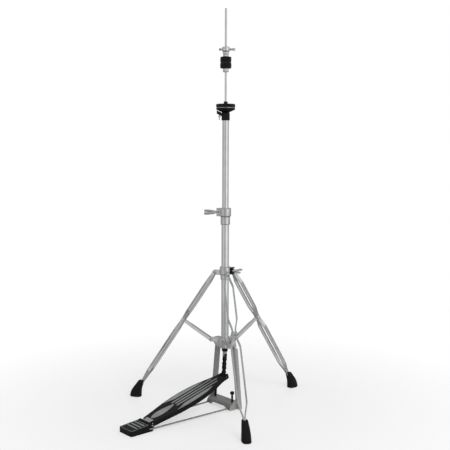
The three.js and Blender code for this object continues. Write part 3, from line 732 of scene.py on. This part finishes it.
def felt_ring(inner, outer, low, high, seed):
    """Pressed felt washer: rounded edges, slightly bulged sides and an uneven, hairy surface."""
    segments, levels = 96, 10
    half = (high - low) / 2
    middle = (high + low) / 2
    corner = min(2.4, half * 0.7)
    heights = spread(corner - half, half - corner, levels)
    side = [(outer - 0.5 + 0.5 * cos(pi / 2 * h / half), h) for h in heights]
    bottom = [(inner + (outer - corner - inner) * k / 6, -half) for k in range(6)]
    bottom += [(outer - corner + corner * sin(a) - 0.2, -half + corner - corner * cos(a))
               for a in (0, 0.4, 0.8, 1.2)]
    profile = bottom + side + [(r, -h) for r, h in reversed(bottom)]
    vertices, faces = lathe(looped([(r, middle + h) for r, h in profile]), segments)
    moved = []
    for v in vertices:
        out = Vector((v.x, v.y, (v.z - middle) * 0.6)).normalized()
        fine = noise.noise(v * 0.9 + Vector((seed, 0, 0)))
        broad = noise.noise(v * 0.22 + Vector((0, seed, 0)))
        edge = min(1.0, (v.xy.length - inner) / 3)
        moved.append(v + out * (0.22 * fine + 0.3 * broad - 0.25) * edge)
    return moved, faces


def felt_piece(node, *sizes):
    cad_piece(node, "pressed", [felt_ring(*sizes)], FELT)


def make_seat():
    count, segments = 20, 160
    levels = [
        (11.3, 849, 0), (11.9, 850, 0), (12, 850.6, 0.75), (12, 866.4, 0.75), (12, 867, 0), (12, 868.9, 0),
        (11.6, 869.5, 0),
    ]
    levels += [(radius, z, 0) for radius, z in reversed(ball_arc(24, 4.5, 10.8, 6))]
    levels += [(4.5, 865.3, 0), (TUBE_SOCKET, 865.3, 0), (TUBE_SOCKET, 849, 0)]
    body = loft([wavy_ring(r, z, count, dip, segments, 0.5) for r, z, dip in levels], closed_path=True)
    turn = turn_z(CLAMP_AZIMUTH)
    screw_place = turn @ shift(TILTER_RADIUS, 0, 0)
    ear = side_plate(soften([
        (10.8, 861), (13, 862), (26, 868.5), (26, 877.4), (12.6, 871.4), (11.2, 869),
    ], 1.6), 6.5)
    cad_piece("seat_base", "moulded", [body, placed(ear, turn)], BLACK_NYLON,
              cuts=[placed(cylinder(2.4, 850, 885), screw_place)], bevel=0.4)

    dome = ball_arc(23.6, 7.4, 12, 5)
    cup = dome + [
        (14.5, 873.9), (20, 876.4), (26.6, 879.4), (27.4, 880.3), (27.5, 883.4), (27.1, 884), (6.4, 884),
        (5.8, 884.6), (5.8, 902.2), (5.3, 903), (4.7, 903), (4.7, 886), (5.2, 884), (7.2, dome[0][1] + 1),
    ]
    cad_piece("seat_cup", "moulded", [lathe(looped(cup), 96)], BLACK_NYLON)
    cad_piece("seat_washer", "plated", [ring(6.1, 27, 884.3, 885.4, 0.3, 96)], CHROME_FITTING)
    felt_piece("seat_felt", 6.2, 28, 885.7, 896, 3.0)

    wing = placed(prism(soften([
        (850, -3.6), (853, -4.6), (857.5, -3.2), (861, -2.6),
        (861, 2.6), (857.5, 3.2), (853, 4.6), (850, 3.6),
    ], 1.0), -1.3, 1.3), X_FOR_Z)
    shank = disc(2, 857, 873.6, 0.5, 24)
    neck = disc(3.2, 858, 862.2, 0.5, 32)
    cad_piece("tilter_screw", "plated", all_placed((wing, shank, neck), screw_place), CHROME_FITTING,
              voxel=0.25)


# ---------------- clutch
def make_clutch():
    bore = 3.4
    profile = [
        (bore, 986), (5.1, 986), (5.4, 986.4), (5.4, 1037.5), (8.6, 1037.5), (8.8, 1043), (9.4, 1044.6),
        (11, 1046), (11, 1056), (9.5, 1058), (bore, 1058),
    ]
    side = turn_z(CLUTCH_WING_AZIMUTH) @ shift(0, 0, CLUTCH_WING_Z) @ aim(X)
    stub = all_placed((disc(2.4, -14, -8, 0.2, 32), disc(3.6, -19.8, -13.4, 0.9, 32)), side)
    cad_piece("clutch_body", "plated", [lathe(looped(soften(profile, 0.45))), *stub], CHROME_FITTING,
              cuts=[placed(cylinder(2.4, 0, 15), side)])
    place = turn_z(CLUTCH_WING_AZIMUTH) @ shift(11.8, 0, CLUTCH_WING_Z)
    cad_piece("clutch_wing_screw", "cast", all_placed(wing_screw(2, 6, 3.2, 4, 20, 15, 2.8, -8), place),
              CHROME_FITTING, voxel=0.3)
    cad_piece("clutch_lock_nut", "plated", [hex_nut(16, 5.75, 1030.2, 1037.1)], CHROME_FITTING)
    cad_piece("clutch_bottom_nut", "plated", [knurled(8.6, 5.75, 987.2, 996.9, 26, 0.45)], CHROME_FITTING)
    felt_piece("clutch_felt_upper", 5.8, 16.3, 1013.6, 1029.9, 11.0)
    felt_piece("clutch_felt_lower", 5.8, 16.5, 997.2, 1013.3, 17.0)


make_column()
make_rods()
make_seat()
make_clutch()


# ---------------- clamp, collar and hub castings
def box(xs, ys, zs):
    return prism(rectangle(xs, ys), *zs)


def cylinder_x(radius, low, high, y=0.0, z=0.0, segments=24):
    return placed(cylinder(radius, low, high, segments), shift(0, y, z) @ aim(X))


def cylinder_y(radius, low, high, x=0.0, z=0.0):
    return placed(cylinder(radius, low, high), shift(x, 0, z) @ aim(Y))


def leg_ears(pin, inner, radius, half):
    """A rounded ear for each leg's pin, and the holes through them."""
    outline = [(inner, pin.z - radius)] + arc((pin.x, pin.z), radius, -90, 90, 14) + [(inner, pin.z + radius)]
    return per_leg(side_plate(outline, half)), per_leg(cylinder_y(PIN_HOLE, -12, 12, pin.x, pin.z))


def make_height_clamp():
    turn = turn_z(CLAMP_AZIMUTH)
    body = lathe(looped([
        (11.5, 546.2), (13.3, 546.2), (13.8, 549), (13.8, 569), (16, 571), (17, 573), (17, 593), (16, 595),
        (11.5, 595),
    ]), 72)
    ears = prism(soften(rectangle((12.5, 26), (-9, 9)), 3.2, 5), 571.5, 594.5)
    gaps = [
        box((19.5, 30), (-12, 12), (577, 589)),
        box((8, 20), (-1, 1), (560, 600)),
        cylinder_x(2.9, 10, 24, 0, CLAMP_WING_Z),
    ]
    slit = placed(box((8, 20), (-1.3, 1.3), (540, 558)), turn_z(20))
    cad_piece("height_clamp", "cast", [body, placed(ears, turn)], CHROME_CAST,
              cuts=all_placed(gaps, turn) + [slit], voxel=0.45)
    place = turn @ shift(20, 0, CLAMP_WING_Z)
    cad_piece("height_wing_screw", "cast", all_placed(wing_screw(2.5, 6.8, 4.6, 9, 30, 42, 4.2, -18), place),
              CHROME_FITTING, voxel=0.4)


def pivot_pins(kind, pin, half):
    """Flat-headed pins through the casting's ears, one for each leg."""
    shape = placed(disc(2.5, -half, half, 0.6, 32), Matrix.Translation(pin) @ aim(Y))
    for name, turned in zip(LEG_AZIMUTHS, per_leg(shape)):
        cad_piece(f"{kind}_pin_{name}", "turned", [turned], STEEL)


def make_collar():
    turn = turn_z(COLLAR_WING_AZIMUTH)
    bore = lathe(rectangle((0, 11.45), (380, 430)), 72)
    sleeve = lathe([
        (0, 384), (13, 384), (13.6, 384.6), (13.6, 398), (16, 400), (16, 420.5), (14.5, 422), (0, 422),
    ], 72)
    boss = placed(box((8, 16.5), (-8, 8), (402, 420)), turn)
    lugs, holes = leg_ears(LEG_PIN, 8, 7.5, 3)
    screw_hole = placed(cylinder_x(3, 8, 20, 0, COLLAR_WING_Z), turn)
    cad_piece("leg_collar", "cast", [sleeve, boss, *lugs], CHROME_CAST,
              cuts=[bore, screw_hole, *holes], voxel=0.5)
    pivot_pins("leg", LEG_PIN, 7.6)
    # Black block round the collar's wing screw, where a dark recess shows: a solid part whose black is
    # painted shade of that recess.
    waist = soften([
        (16.8, 401), (27, 401), (27, 404.4), (22, 406.4), (22, 415.6), (27, 417.6), (27, 421), (16.8, 421),
        (16.8, 415.6), (18.4, 411), (16.8, 406.4),
    ], 1.2, 4)
    block = placed(side_plate(waist, 8.5), turn)
    hole = placed(cylinder_x(3, 10, 30, 0, COLLAR_WING_Z), turn)
    cad_piece("collar_clamp_block", "moulded", [block], BLACK_NYLON, cuts=[hole], bevel=0.8)
    place = turn @ shift(27.5, 0, COLLAR_WING_Z)
    screw = all_placed(wing_screw(2.6, 15.2, 4.4, 7, 26, 23, 3, 19), place)
    washer = placed(disc(4.4, -4.6, 0.5, 0.6, 32), place @ aim(X))
    cad_piece("collar_wing_screw", "cast", [*screw, washer], CHROME_FITTING, voxel=0.35)


UPRIGHT_TOP = (38, 181.5)
UPRIGHT_FOOT = (58, 5)
UPRIGHT_LEAN = atan2(UPRIGHT_FOOT[0] - UPRIGHT_TOP[0], UPRIGHT_TOP[1] - UPRIGHT_FOOT[1])


def upright_frame(side):
    """Frame with +Z up along an upright, from the middle of its foot."""
    lean = Matrix.Rotation(-side * UPRIGHT_LEAN, 4, "Y")
    return shift(side * UPRIGHT_FOOT[0], 0, UPRIGHT_FOOT[1]) @ lean


def up_the_upright(z):
    return (z - UPRIGHT_FOOT[1]) / cos(UPRIGHT_LEAN)


def make_hub():
    barrel = lathe([(0, 179.3), (16.4, 179.3), (17, 180), (17, 209), (16, 210), (0, 210)], 72)
    yoke = side_plate(soften([
        (-40, 184), (-31, 183), (-20, 179.5), (20, 179.5), (31, 183), (40, 184),
        (42, 196), (40, 207), (-40, 207), (-42, 196),
    ], 3, 4), 8)
    tongue = box((-5.6, 5.6), (2.4, 8), (up_the_upright(138), up_the_upright(190)))
    tongues = [placed(tongue, upright_frame(side)) for side in SIDES.values()]
    ears, holes = leg_ears(HUB_PIN, 8, 7, 3)
    ribs = [box((x - 1.2, x + 1.2), (-19, -8), (182, 206)) for x in (-12, -6, 0, 6, 12)]
    tube_seat = lathe(rectangle((0, 11.4), (184, 220)), 72)
    rod_hole = cylinder(4.4, 170, 190, 32)
    cad_piece("hub_casting", "cast", [barrel, yoke, *tongues, *ears, *ribs], CHROME_CAST,
              cuts=[tube_seat, rod_hole, *holes], voxel=0.6)
    pivot_pins("brace", HUB_PIN, 7.4)


# ---------------- uprights, base plate, radius rod and spurs
def bolt_head(x, y, z, radius=3.4, height=2.0):
    """Round rivet head on a front face, pointing to -Y."""
    dome = [(radius * sin(a), height * cos(a) ** 0.8) for a in (1.4, 1.15, 0.8, 0.4)]
    profile = [(0, -0.4), (radius, -0.4), (radius, 0.1)] + dome + [(0, height)]
    return placed(lathe(profile, 32), shift(x, y, z) @ aim(-Y))


def make_uprights():
    length = up_the_upright(UPRIGHT_TOP[1])
    inner = UPRIGHT_FOOT[0] - 7.6
    channel = [(8, 10), (6.2, 10)] + arc((5.4, 2.6), 0.8, 0, -90, 4) + arc((-5.4, 2.6), 0.8, -90, -180, 4)
    channel += [(-6.2, 10), (-8, 10)] + arc((-5.4, 2.6), 2.6, 180, 270, 6) + arc((5.4, 2.6), 2.6, 270, 360, 6)
    bar = prism(channel[::-1], 0, length)
    bolts = [bolt_head(0, 0, up_the_upright(z)) for z in (148, 168)]
    bolts.append(bolt_head(0, 0, up_the_upright(14), 2.8, 1.6))
    corner = soften([(2, 4), (2, 36), (-4, 34), (-26, 12), (-26, 4)], 3, 4)
    for name, side in SIDES.items():
        gusset = cross_plate(corner, *sorted((side * inner, side * (inner + 2.2))))
        bar_up, *bolts_up = all_placed((bar, *bolts), upright_frame(side))
        cad_piece(f"upright_{name}", "folded", [bar_up, gusset, *bolts_up], GREY_ENAMEL, bevel=0.3)


def make_base_plate():
    section = soften([
        (-24, 4), (-21.8, 4), (-21.8, 17.8), (-17, 20.8), (11.8, 20.8), (11.8, 4),
        (14, 4), (14, 23), (-18, 23), (-24, 19),
    ], 1.4, 4)
    reach = 50.1
    strip = cross_plate(section, -reach, reach)
    boss = disc(6.5, 12, 22, 0.4, 32)
    hole = cylinder(3.5, 0, 40, 32)
    gap = box((-8.5, 8.5), (-0.5, 11), (up_the_upright(0), up_the_upright(60)))
    bosses, holes, rod_holes, room = [], [], [], []
    for side in SIDES.values():
        spur_place = shift(side * SPUR_X, SPUR_Y, 0)
        bosses.append(placed(boss, spur_place))
        holes.append(placed(hole, spur_place))
        rod_holes.append(cylinder_y(2.8, -30, -15, side * ROD_SPREAD, 10))
        room.append(placed(gap, upright_frame(side)))
    arch = soften([(-36, 3), (-28, 12), (28, 12), (36, 3)], 6, 6)
    arch = placed(prism(arch, 0, 12), shift(0, -18, 0) @ STAND_UP)
    cad_piece("base_plate", "pressed", [strip, *bosses], DARK_ENAMEL,
              cuts=[*holes, *rod_holes, *room, arch], bevel=0.35)


def wire(path, radius):
    """Round wire along a level or climbing path, with flat ends."""
    sides = 20
    rings = []
    for i, point in enumerate(path):
        ahead = (path[min(i + 1, len(path) - 1)] - path[max(i - 1, 0)]).normalized()
        across = Z.cross(ahead).normalized()
        up = ahead.cross(across)
        rings.append([
            point + (across * cos(tau * k / sides) + up * sin(tau * k / sides)) * radius
            for k in range(sides)
        ])
    return loft(rings)


def make_radius_rod():
    corner, half, cross = 4, 33, ROD_CROSS[0]
    bend = arc((half - corner, cross + corner), corner, 0, -90)
    right = [(ROD_SPREAD, -17), (ROD_SPREAD, -28), (43.6, -33)] + bend
    path = [Vector((x, y, ROD_CROSS[1])) for x, y in right + [(-x, y) for x, y in reversed(right)]]
    cad_piece("radius_rod", "bent", [wire(path, 2.25)], STEEL)


def threaded(core, crest, low, high):
    """Profile points of a threaded stem."""
    pitch = 1.25
    points = []
    turns = int((high - low) / pitch)
    for k in range(turns):
        z = low + k * pitch
        points += [(core, z), (crest, z + pitch * 0.4), (crest, z + pitch * 0.6)]
    return points + [(core, low + turns * pitch)]


def make_spurs():
    stem = lathe([(0, 13), (2.5, 17)] + threaded(2.55, 3, 18, 46) + [(2.5, 48), (0, 48)], 32)
    knob = knurled(6, 1.5, 46.2, 54.2, 18, 0.6, 1.1)
    cap = disc(4.2, 45.6, 54.5, 0.6, 32)
    for name, side in SIDES.items():
        parts = all_placed((knob, stem, cap), shift(side * SPUR_X, SPUR_Y, 0))
        cad_piece(f"floor_spur_{name}", "turned", parts, BLACK_COAT)


make_height_clamp()
make_collar()
make_hub()
make_uprights()
make_base_plate()
make_radius_rod()
make_spurs()


# ---------------- legs, braces and feet
LEG_LANE = along(LEG_PIN, FOOT_TOP)
MID_U = (LEG_MID - LEG_PIN).length
STRIP_END = (FOOT_TOP - LEG_PIN).length + 16
STRIP_INNER = 4.9
STRIP_LINE = [
    (-8, STRIP_INNER), (12, STRIP_INNER), (36, 11.6), (50, 12.6),
    (MID_U - 50, 12.6), (MID_U - 36, 11.1),
    (MID_U - 11, STRIP_INNER), (MID_U + 11, STRIP_INNER), (MID_U + 36, 12), (MID_U + 50, 13),
    (STRIP_END - 84, 12.5), (STRIP_END - 64, 11), (STRIP_END - 28, 2.4), (STRIP_END, 2.1),
]


def smoothstep(value, low, high):
    share = limited((value - low) / (high - low))
    return share * share * (3 - 2 * share)


def pressing(u):
    """How deep the strip's lengthwise groove is at u: none round the pivots and inside the foot."""
    upper = smoothstep(u, 12, 30) * (1 - smoothstep(u, MID_U - 30, MID_U - 12))
    lower = smoothstep(u, MID_U + 12, MID_U + 30) * (1 - smoothstep(u, STRIP_END - 92, STRIP_END - 66))
    return upper + lower


def widening(u):
    """The strip's width at u, as a multiple of its width at the pin and inside the foot."""
    return 1 + 0.18 * smoothstep(u, -2, 22) * (1 - smoothstep(u, STRIP_END - 72, STRIP_END - 38))


def strip_section(depth, share):
    """Cross-section as (height, outward) points: crowned and grooved outside, hollow inside."""
    outside = [
        (-5.25, -0.7), (-5.15, 0.4), (-4.7, 1.15), (-3.9, 1.55), (-3.1, 1.6),
        (-2.3, 1.6 - 0.3 * depth), (-1.3, 1.6 - 0.95 * depth), (0, 1.6 - 1.15 * depth),
    ]
    inside = [
        (0, -1.6 + 1.2 * depth), (-1.6, -1.6 + 1.1 * depth), (-3.2, -1.6 + 0.6 * depth), (-4.1, -1.55),
        (-4.9, -1.45),
    ]
    half = outside + [(-h, o) for h, o in outside[-2::-1]]
    back = [(-h, o) for h, o in inside[::-1]] + inside[1:]
    return [(h * share, o) for h, o in half + back]


def strip(sign):
    """One of a leg's two strips, along +X from the pin; the sign says on which side of the leg."""
    line = [p for p in spline([(u, t, 0) for u, t in STRIP_LINE], 7) if p.x > 6]
    head = [(-5.23, 0.09), (-5.1, 0.24), (-4.6, 0.48), (-3.6, 0.73), (-2.2, 0.91), (-0.8, 0.99), (2, 1)]
    stations = [(Vector((u, STRIP_INNER, 0)), share) for u, share in head] + [(p, 1) for p in line]
    rings = []
    for i, (point, share) in enumerate(stations):
        before, after = stations[max(i - 1, 0)][0], stations[min(i + 1, len(stations) - 1)][0]
        ahead = (after - before).normalized()
        out = Vector((-ahead.y, ahead.x, 0))
        rings.append([
            point + out * outward + Z * height
            for height, outward in strip_section(pressing(point.x), share * widening(point.x))
        ])
    points, faces = loft(rings)
    return [(p.x, sign * p.y, p.z) for p in points], faces


def brace():
    """Folded brace along +X from its hub pin, as a body and the cuts that shape it."""
    length = (LEG_MID - HUB_PIN).length
    outline = arc((0, 0), 4.75, 90, 270, 12) + arc((length, 0), 4.75, -90, 90, 12)
    body = side_plate(outline, 5)
    cuts = [
        box((-8, 12.5), (-3.3, 3.3), (-6, 6)), cylinder_y(PIN_HOLE, -8, 8), cylinder_y(2.7, -8, 8, length),
    ]
    groove = soften(rectangle((18, length - 30), (-3.6, 3.6)), 3, 5)
    cuts.append(prism(groove, -6, 3.2))
    for side in SIDES.values():
        pinch = [(length - 34, 5), (length - 21, 2.9), (length + 8, 2.9), (length + 8, 8), (length - 34, 8)]
        cuts.append(prism([(x, side * y) for x, y in pinch], -6, 6))
    return body, cuts


FOOT_R = 292
# Sections of a foot: shift along the leg, half sizes along and across it, height.
FOOT_RINGS = [
    (0, 16.6, 11.6, 0), (0, 17.6, 12.6, 0.9), (0, 18, 13, 3), (-0.2, 17.8, 12.9, 6), (-0.4, 17.1, 12.3, 6.8),
    (-0.5, 17.1, 12.3, 7.8), (-0.6, 17.6, 12.75, 8.6), (-0.8, 17.4, 12.65, 11.2), (-1, 16.7, 12.1, 12),
    (-1.1, 16.7, 12.1, 13), (-1.4, 17, 12.5, 13.9), (-3.2, 15.6, 12, 21), (-6, 14, 11.5, 28),
    (-9.8, 12.4, 10.8, 35), (-14, 11, 10, 42), (-17.4, 10, 9.1, 48), (-19.4, 9.6, 8.6, 51),
    (-20, 8.8, 7.8, 52),
]


def rubber_foot():
    """Foot of the leg along +X, its sections between an ellipse and a rectangle."""
    count, squareness = 64, 0.72
    rings = []
    for out, out_half, side_half, z in FOOT_RINGS:
        points = []
        for i in range(count):
            angle = tau * i / count
            c, s = (copysign(abs(v) ** squareness, v) for v in (cos(angle), sin(angle)))
            points.append((FOOT_R + out + c * out_half, s * side_half, z))
        rings.append(points)
    return loft(rings)


def make_legs():
    foot_at = (FOOT_TOP - LEG_PIN).length
    pocket = placed(box((foot_at - 30, foot_at + 17), (-4.2, 4.2), (-5.7, 5.7)), LEG_LANE)
    brace_lane = along(HUB_PIN, LEG_MID)
    brace_body, brace_cuts = brace()
    pin_hole = cylinder_y(PIN_HOLE, -30, 30)
    head = [
        (0, 6.3), (5.3, 6.3), (5.3, 7.1), (4.4, 7.3), (4.3, 7.7),
        (3.7, 8.4), (2.5, 8.9), (1.2, 9.1), (0, 9.15),
    ]
    heads = [placed(lathe(head, 40), Matrix.Translation(LEG_MID) @ aim(side * Y)) for side in (1, -1)]
    for name, azimuth in LEG_AZIMUTHS.items():
        turn = turn_z(azimuth)
        lane = turn @ LEG_LANE
        for sign, letter in ((1, "a"), (-1, "b")):
            cad_piece(f"leg_strip_{name}_{letter}", "pressed", [placed(strip(sign), lane)], CHROME_STRIP,
                      cuts=[placed(pin_hole, lane)], sharp=50)
        cad_piece(f"rubber_foot_{name}", "moulded", [placed(rubber_foot(), turn)], RUBBER,
                  cuts=[placed(pocket, turn)])
        place = turn @ brace_lane
        cad_piece(f"brace_{name}", "folded", [placed(brace_body, place)], CHROME_STRIP,
                  cuts=all_placed(brace_cuts, place), bevel=0.45)
        piece(f"mid_rivet_{name}", all_placed(heads, turn), CHROME_FITTING, body=f"leg_{name}")


# ---------------- pedal and chain
PEDAL = Matrix.Translation(HEEL_HINGE) @ Matrix.Rotation(BOARD_SLOPE, 4, "X")
BOARD_TOP = 4.0
TREAD_MARGIN = 3.6
STRIPE_WIDTH = 5.4
# Distance from the hinge and half width there.
BOARD_EDGE = [(8, 24), (45, 30), (95, 38.5), (145, 41.5), (195, 38), (240, 27), (275, 17), (306, 14.5)]
TOE_PIN = (292.8, -1.5)
BOARD_CURVE = spline(BOARD_EDGE, 8)


def board_half(s):
    """Half width of the footboard at distance s from the hinge."""
    for (s0, h0), (s1, h1) in zip(BOARD_CURVE, BOARD_CURVE[1:]):
        if s0 <= s <= s1:
            return h0 + (h1 - h0) * (s - s0) / (s1 - s0)
    return BOARD_CURVE[0][1] if s < BOARD_CURVE[0][0] else BOARD_CURVE[-1][1]


def mirrored(edge):
    """Closed outline from its right-hand edge, given as (half width, s) from heel to toe."""
    return edge + [(-x, s) for x, s in reversed(edge)]


def board_outline(inset, heel, toe, tip):
    edge = [(half - inset, s) for s, half in BOARD_CURVE if heel <= s < toe - 5]
    return mirrored(edge + [(tip + 1.2, toe - 1.6), (tip, toe)])


def inlay(outline, raise_mm=0.7):
    """Grip pad let into the top of the footboard."""
    return placed(prism(outline, BOARD_TOP - 0.2, BOARD_TOP + raise_mm), PEDAL)


def leaf_lobe():
    """One of the two wide lobes that follow the board's edge and come to a point at both ends."""
    low, high = 88, 228
    outer, inner = [], []
    for s in spread(low, high, 40):
        full = board_half(s) - TREAD_MARGIN
        open_up = smoothstep(s, low - 4, 128)
        close_up = smoothstep(s, 168, high + 4)
        edge = full * (1 - 0.12 * smoothstep(s, 190, high + 6) ** 2)
        root = full * (0.985 - 0.385 * open_up)
        outer.append((edge, s))
        inner.append((root + (edge - root) * 0.72 * close_up ** 2.2, s))
    return outer + inner[::-1]


def stripe(side, low, high):
    """A lengthwise bar with rounded ends; the outer two lean outwards a little toward the toe."""
    left, right = [], []
    for s in spread(low, high, 30):
        end = min(s - low, high - s)
        fat = STRIPE_WIDTH * min(1, sqrt(max(end, 0.02) / 5)) * (1 - 0.3 * smoothstep(s, 170, high))
        middle = side * (12 + 0.008 * (s - low))
        left.append((middle - fat / 2, s))
        right.append((middle + fat / 2, s))
    return right + left[::-1]


def oval_pad():
    """The egg-shaped inlay between the hinge and the stripes."""
    low, high = 19, 102
    edge = []
    for s in spread(low, high, 36):
        share = (s - low) / (high - low)
        edge.append((max(12.5 * max(sin(pi * share ** 0.74), 0) ** 0.75, 0.05), s))
    return mirrored(edge)


def make_footboard():
    shell = prism(board_outline(0, 0, 302, 12), BOARD_TOP - 12, BOARD_TOP)
    hollow = prism(board_outline(2.4, 10, 270, 15), BOARD_TOP - 13, BOARD_TOP - 3)
    heel_opening = box((-21, 21), (-5, 14), (BOARD_TOP - 13, BOARD_TOP - 3))
    knuckle = cylinder_x(5, -14, 14, segments=48)
    bridge = box((-14, 14), (1, 13), (-2.5, BOARD_TOP))
    cuts = [
        cylinder_x(2.8, -30, 30, segments=32),
        prism(soften(rectangle((-6.4, 6.4), (281, 312)), 3, 6), -20, 20),
        cylinder_x(2.3, -30, 30, *TOE_PIN, segments=32),
    ]
    meshes, cuts = shell_with(shell, [hollow, heel_opening], [bridge, knuckle], cuts, PEDAL)
    cad_piece("footboard", "cast", meshes, BLACK_COAT, cuts=cuts, bevel=0.8)
    toe = cylinder_x(2, -13.3, 13.3, *TOE_PIN, segments=32)
    cad_piece("toe_pin", "turned", [placed(toe, PEDAL)], CHROME_FITTING, bevel=0.4)
    lobe = leaf_lobe()
    shapes = [lobe, [(-x, s) for x, s in lobe], oval_pad(), stripe(0, 104, 268)]
    shapes += [stripe(side, 100, 258) for side in SIDES.values()]
    for index, shape in enumerate(shapes):
        piece(f"footboard_tread_{index}", [inlay(shape)], TREAD, body="footboard", bevel=0.3, sharp=30)
    pad = soften([(-13.5, 1.2), (13.5, 1.2), (15.5, 16), (-15.5, 16)], 2.5, 5)
    piece("hinge_pad", [inlay(pad, 1.0)], TREAD, body="footboard", bevel=0.35)


def shell_with(shell, hollows, additions, cuts, matrix):
    """Hollows first, then the pieces that stand in them, then the holes through everything."""
    base = new_object("shell", mesh_data("shell", shell))
    combine(base, hollows, "DIFFERENCE")
    mesh = ([v.co.copy() for v in base.data.vertices], [tuple(f.vertices) for f in base.data.polygons])
    bpy.data.objects.remove(base)
    return all_placed((mesh, *additions), matrix), all_placed(cuts, matrix)


HEEL_HALF = 29.5
HEEL_FRONT = -296
HEEL_BACK = -357
HEEL_SLOPE = atan2(5.5, 61)
HEEL_WALL = 3.2
HEEL_TOP = shift(0, HEEL_FRONT, 19) @ Matrix.Rotation(HEEL_SLOPE, 4, "X")


def heel_outline(half, front, back, corner):
    line = [(half, front), (-half, front)]
    line += arc((-half + corner, back + corner), corner, 180, 270, 8)
    return line + arc((half - corner, back + corner), corner, 270, 360, 8)


def heel_cheek(side):
    """Side wall that runs forward and holds one end of the hinge pin."""
    outline = [(-304, 0), (-286, 0), (-282, 10)]
    outline += arc((HEEL_HINGE.y, HEEL_HINGE.z), 5, -10, 90, 10) + [(-304, 17)]
    return cross_plate(outline, *sorted((side * HEEL_HALF, side * (HEEL_HALF - HEEL_WALL))))


def make_heel_plate():
    top = tan(HEEL_SLOPE)
    hinge = (HEEL_HINGE.y, HEEL_HINGE.z)
    room = HEEL_HALF - HEEL_WALL
    body = prism(heel_outline(HEEL_HALF, HEEL_FRONT, HEEL_BACK, 6), 0, 21)
    above = [(-295.5, 19 + 0.5 * top), (-295.5, 40), (-360, 40), (-360, 19 - 64 * top)]
    inside = [(-292, -1), (-292, 15.6 + 4 * top), (-351, 10.1 + 6 * top), (-351, -1)]
    hollows = [cross_plate(above, -40, 40), cross_plate(inside, -room, room)]
    additions = [heel_cheek(side) for side in SIDES.values()]
    for xs in ((14.6, 23.6), (-23.6, -14.6)):
        additions.append(cylinder_x(5, *xs, *hinge, 48))
        additions.append(box(xs, (-299, HEEL_HINGE.y), (13.5, 18.5)))
    bores = [cylinder_x(2.8, -40, 40, *place, 32) for place in (hinge, ROD_CROSS)]
    meshes, cuts = shell_with(body, hollows, additions, bores, Matrix.Identity(4))
    cad_piece("heel_plate", "cast", meshes, BLACK_COAT, cuts=cuts, bevel=0.8)
    for index, y in enumerate((-13, -25, -37)):
        bar = soften(rectangle((-22, 22), (y - 2.2, y + 2.2)), 2, 5)
        piece(f"heel_bar_{index}", [placed(prism(bar, -0.2, 0.7), HEEL_TOP)], TREAD, body="root", bevel=0.35)
    outer, inner = (heel_outline(HEEL_HALF - i, -i, HEEL_BACK - HEEL_FRONT + i, 6 - i) for i in (3, 4))
    piece("heel_border", [placed(prism(outer, -0.2, 0.3), HEEL_TOP)], TREAD, body="root",
          cuts=[placed(prism(inner, -1, 1), HEEL_TOP)], bevel=0.12)
    pin = cylinder_x(2.4, -HEEL_HALF - 0.3, HEEL_HALF + 0.3, *hinge, 32)
    cad_piece("heel_hinge_pin", "turned", [pin], STEEL, bevel=0.5)


def chain_link(index):
    """The two side plates of a link, waisted between their pins; odd links sit inside the even ones."""
    end, waist, thick = 4.6, 3.7, 1.4
    near = 2.6 if index % 2 else 3.9
    low = -(index + 1) * CHAIN_PITCH
    high = low + CHAIN_PITCH
    middle = high - CHAIN_PITCH / 2
    plate = arc((0, high), end, -35, 215, 16) + [(-waist, middle)]
    plate += arc((0, low), end, 145, 395, 16) + [(waist, middle)]
    return [cross_plate(plate, near, near + thick), cross_plate(plate, -near - thick, -near)]


def make_chain():
    toe = PEDAL @ Vector((0, *TOE_PIN))
    hang = shift(0, 0, CHAIN_TOP_Z)
    hang = hang @ Matrix.Rotation(-atan2(-toe.y, CHAIN_TOP_Z - toe.z), 4, "X")
    parts = []
    for index in range(CHAIN_LINKS):
        parts += chain_link(index)
        if index > 0:
            joint = -index * CHAIN_PITCH
            parts.append(cylinder_x(2.4, -4.2, 4.2, 0, joint))
            parts.append(cylinder_x(1.9, -6.1, 6.1, 0, joint, 20))
    parts.append(cylinder_x(1.8, -6.2, 6.2, segments=20))
    bore = cylinder_x(3.4, -10, 10, 0, -CHAIN_LINKS * CHAIN_PITCH, 32)
    cad_piece("drive_chain", "linked", all_placed(parts, hang), BLACK_NYLON,
              cuts=[placed(bore, hang)], bevel=0.25)
    nut = hex_nut(13.6, 3.3, 160.8, 167.8)
    tongue = cross_plate(soften([
        (-3, 151.6), (3, 151.6), (4.5, 154), (4.5, 161.4), (-4.5, 161.4), (-4.5, 154),
    ], 0.8), -2.7, 2.7)
    cap = disc(5.4, 160.9, 161.6, 0.1, 32)
    cad_piece("chain_coupler", "turned", [nut, cap, tongue], STEEL,
              cuts=[cylinder_x(2.3, -10, 10, 0, CHAIN_TOP_Z, 32)], bevel=0.25)


make_legs()
make_footboard()
make_heel_plate()
make_chain()
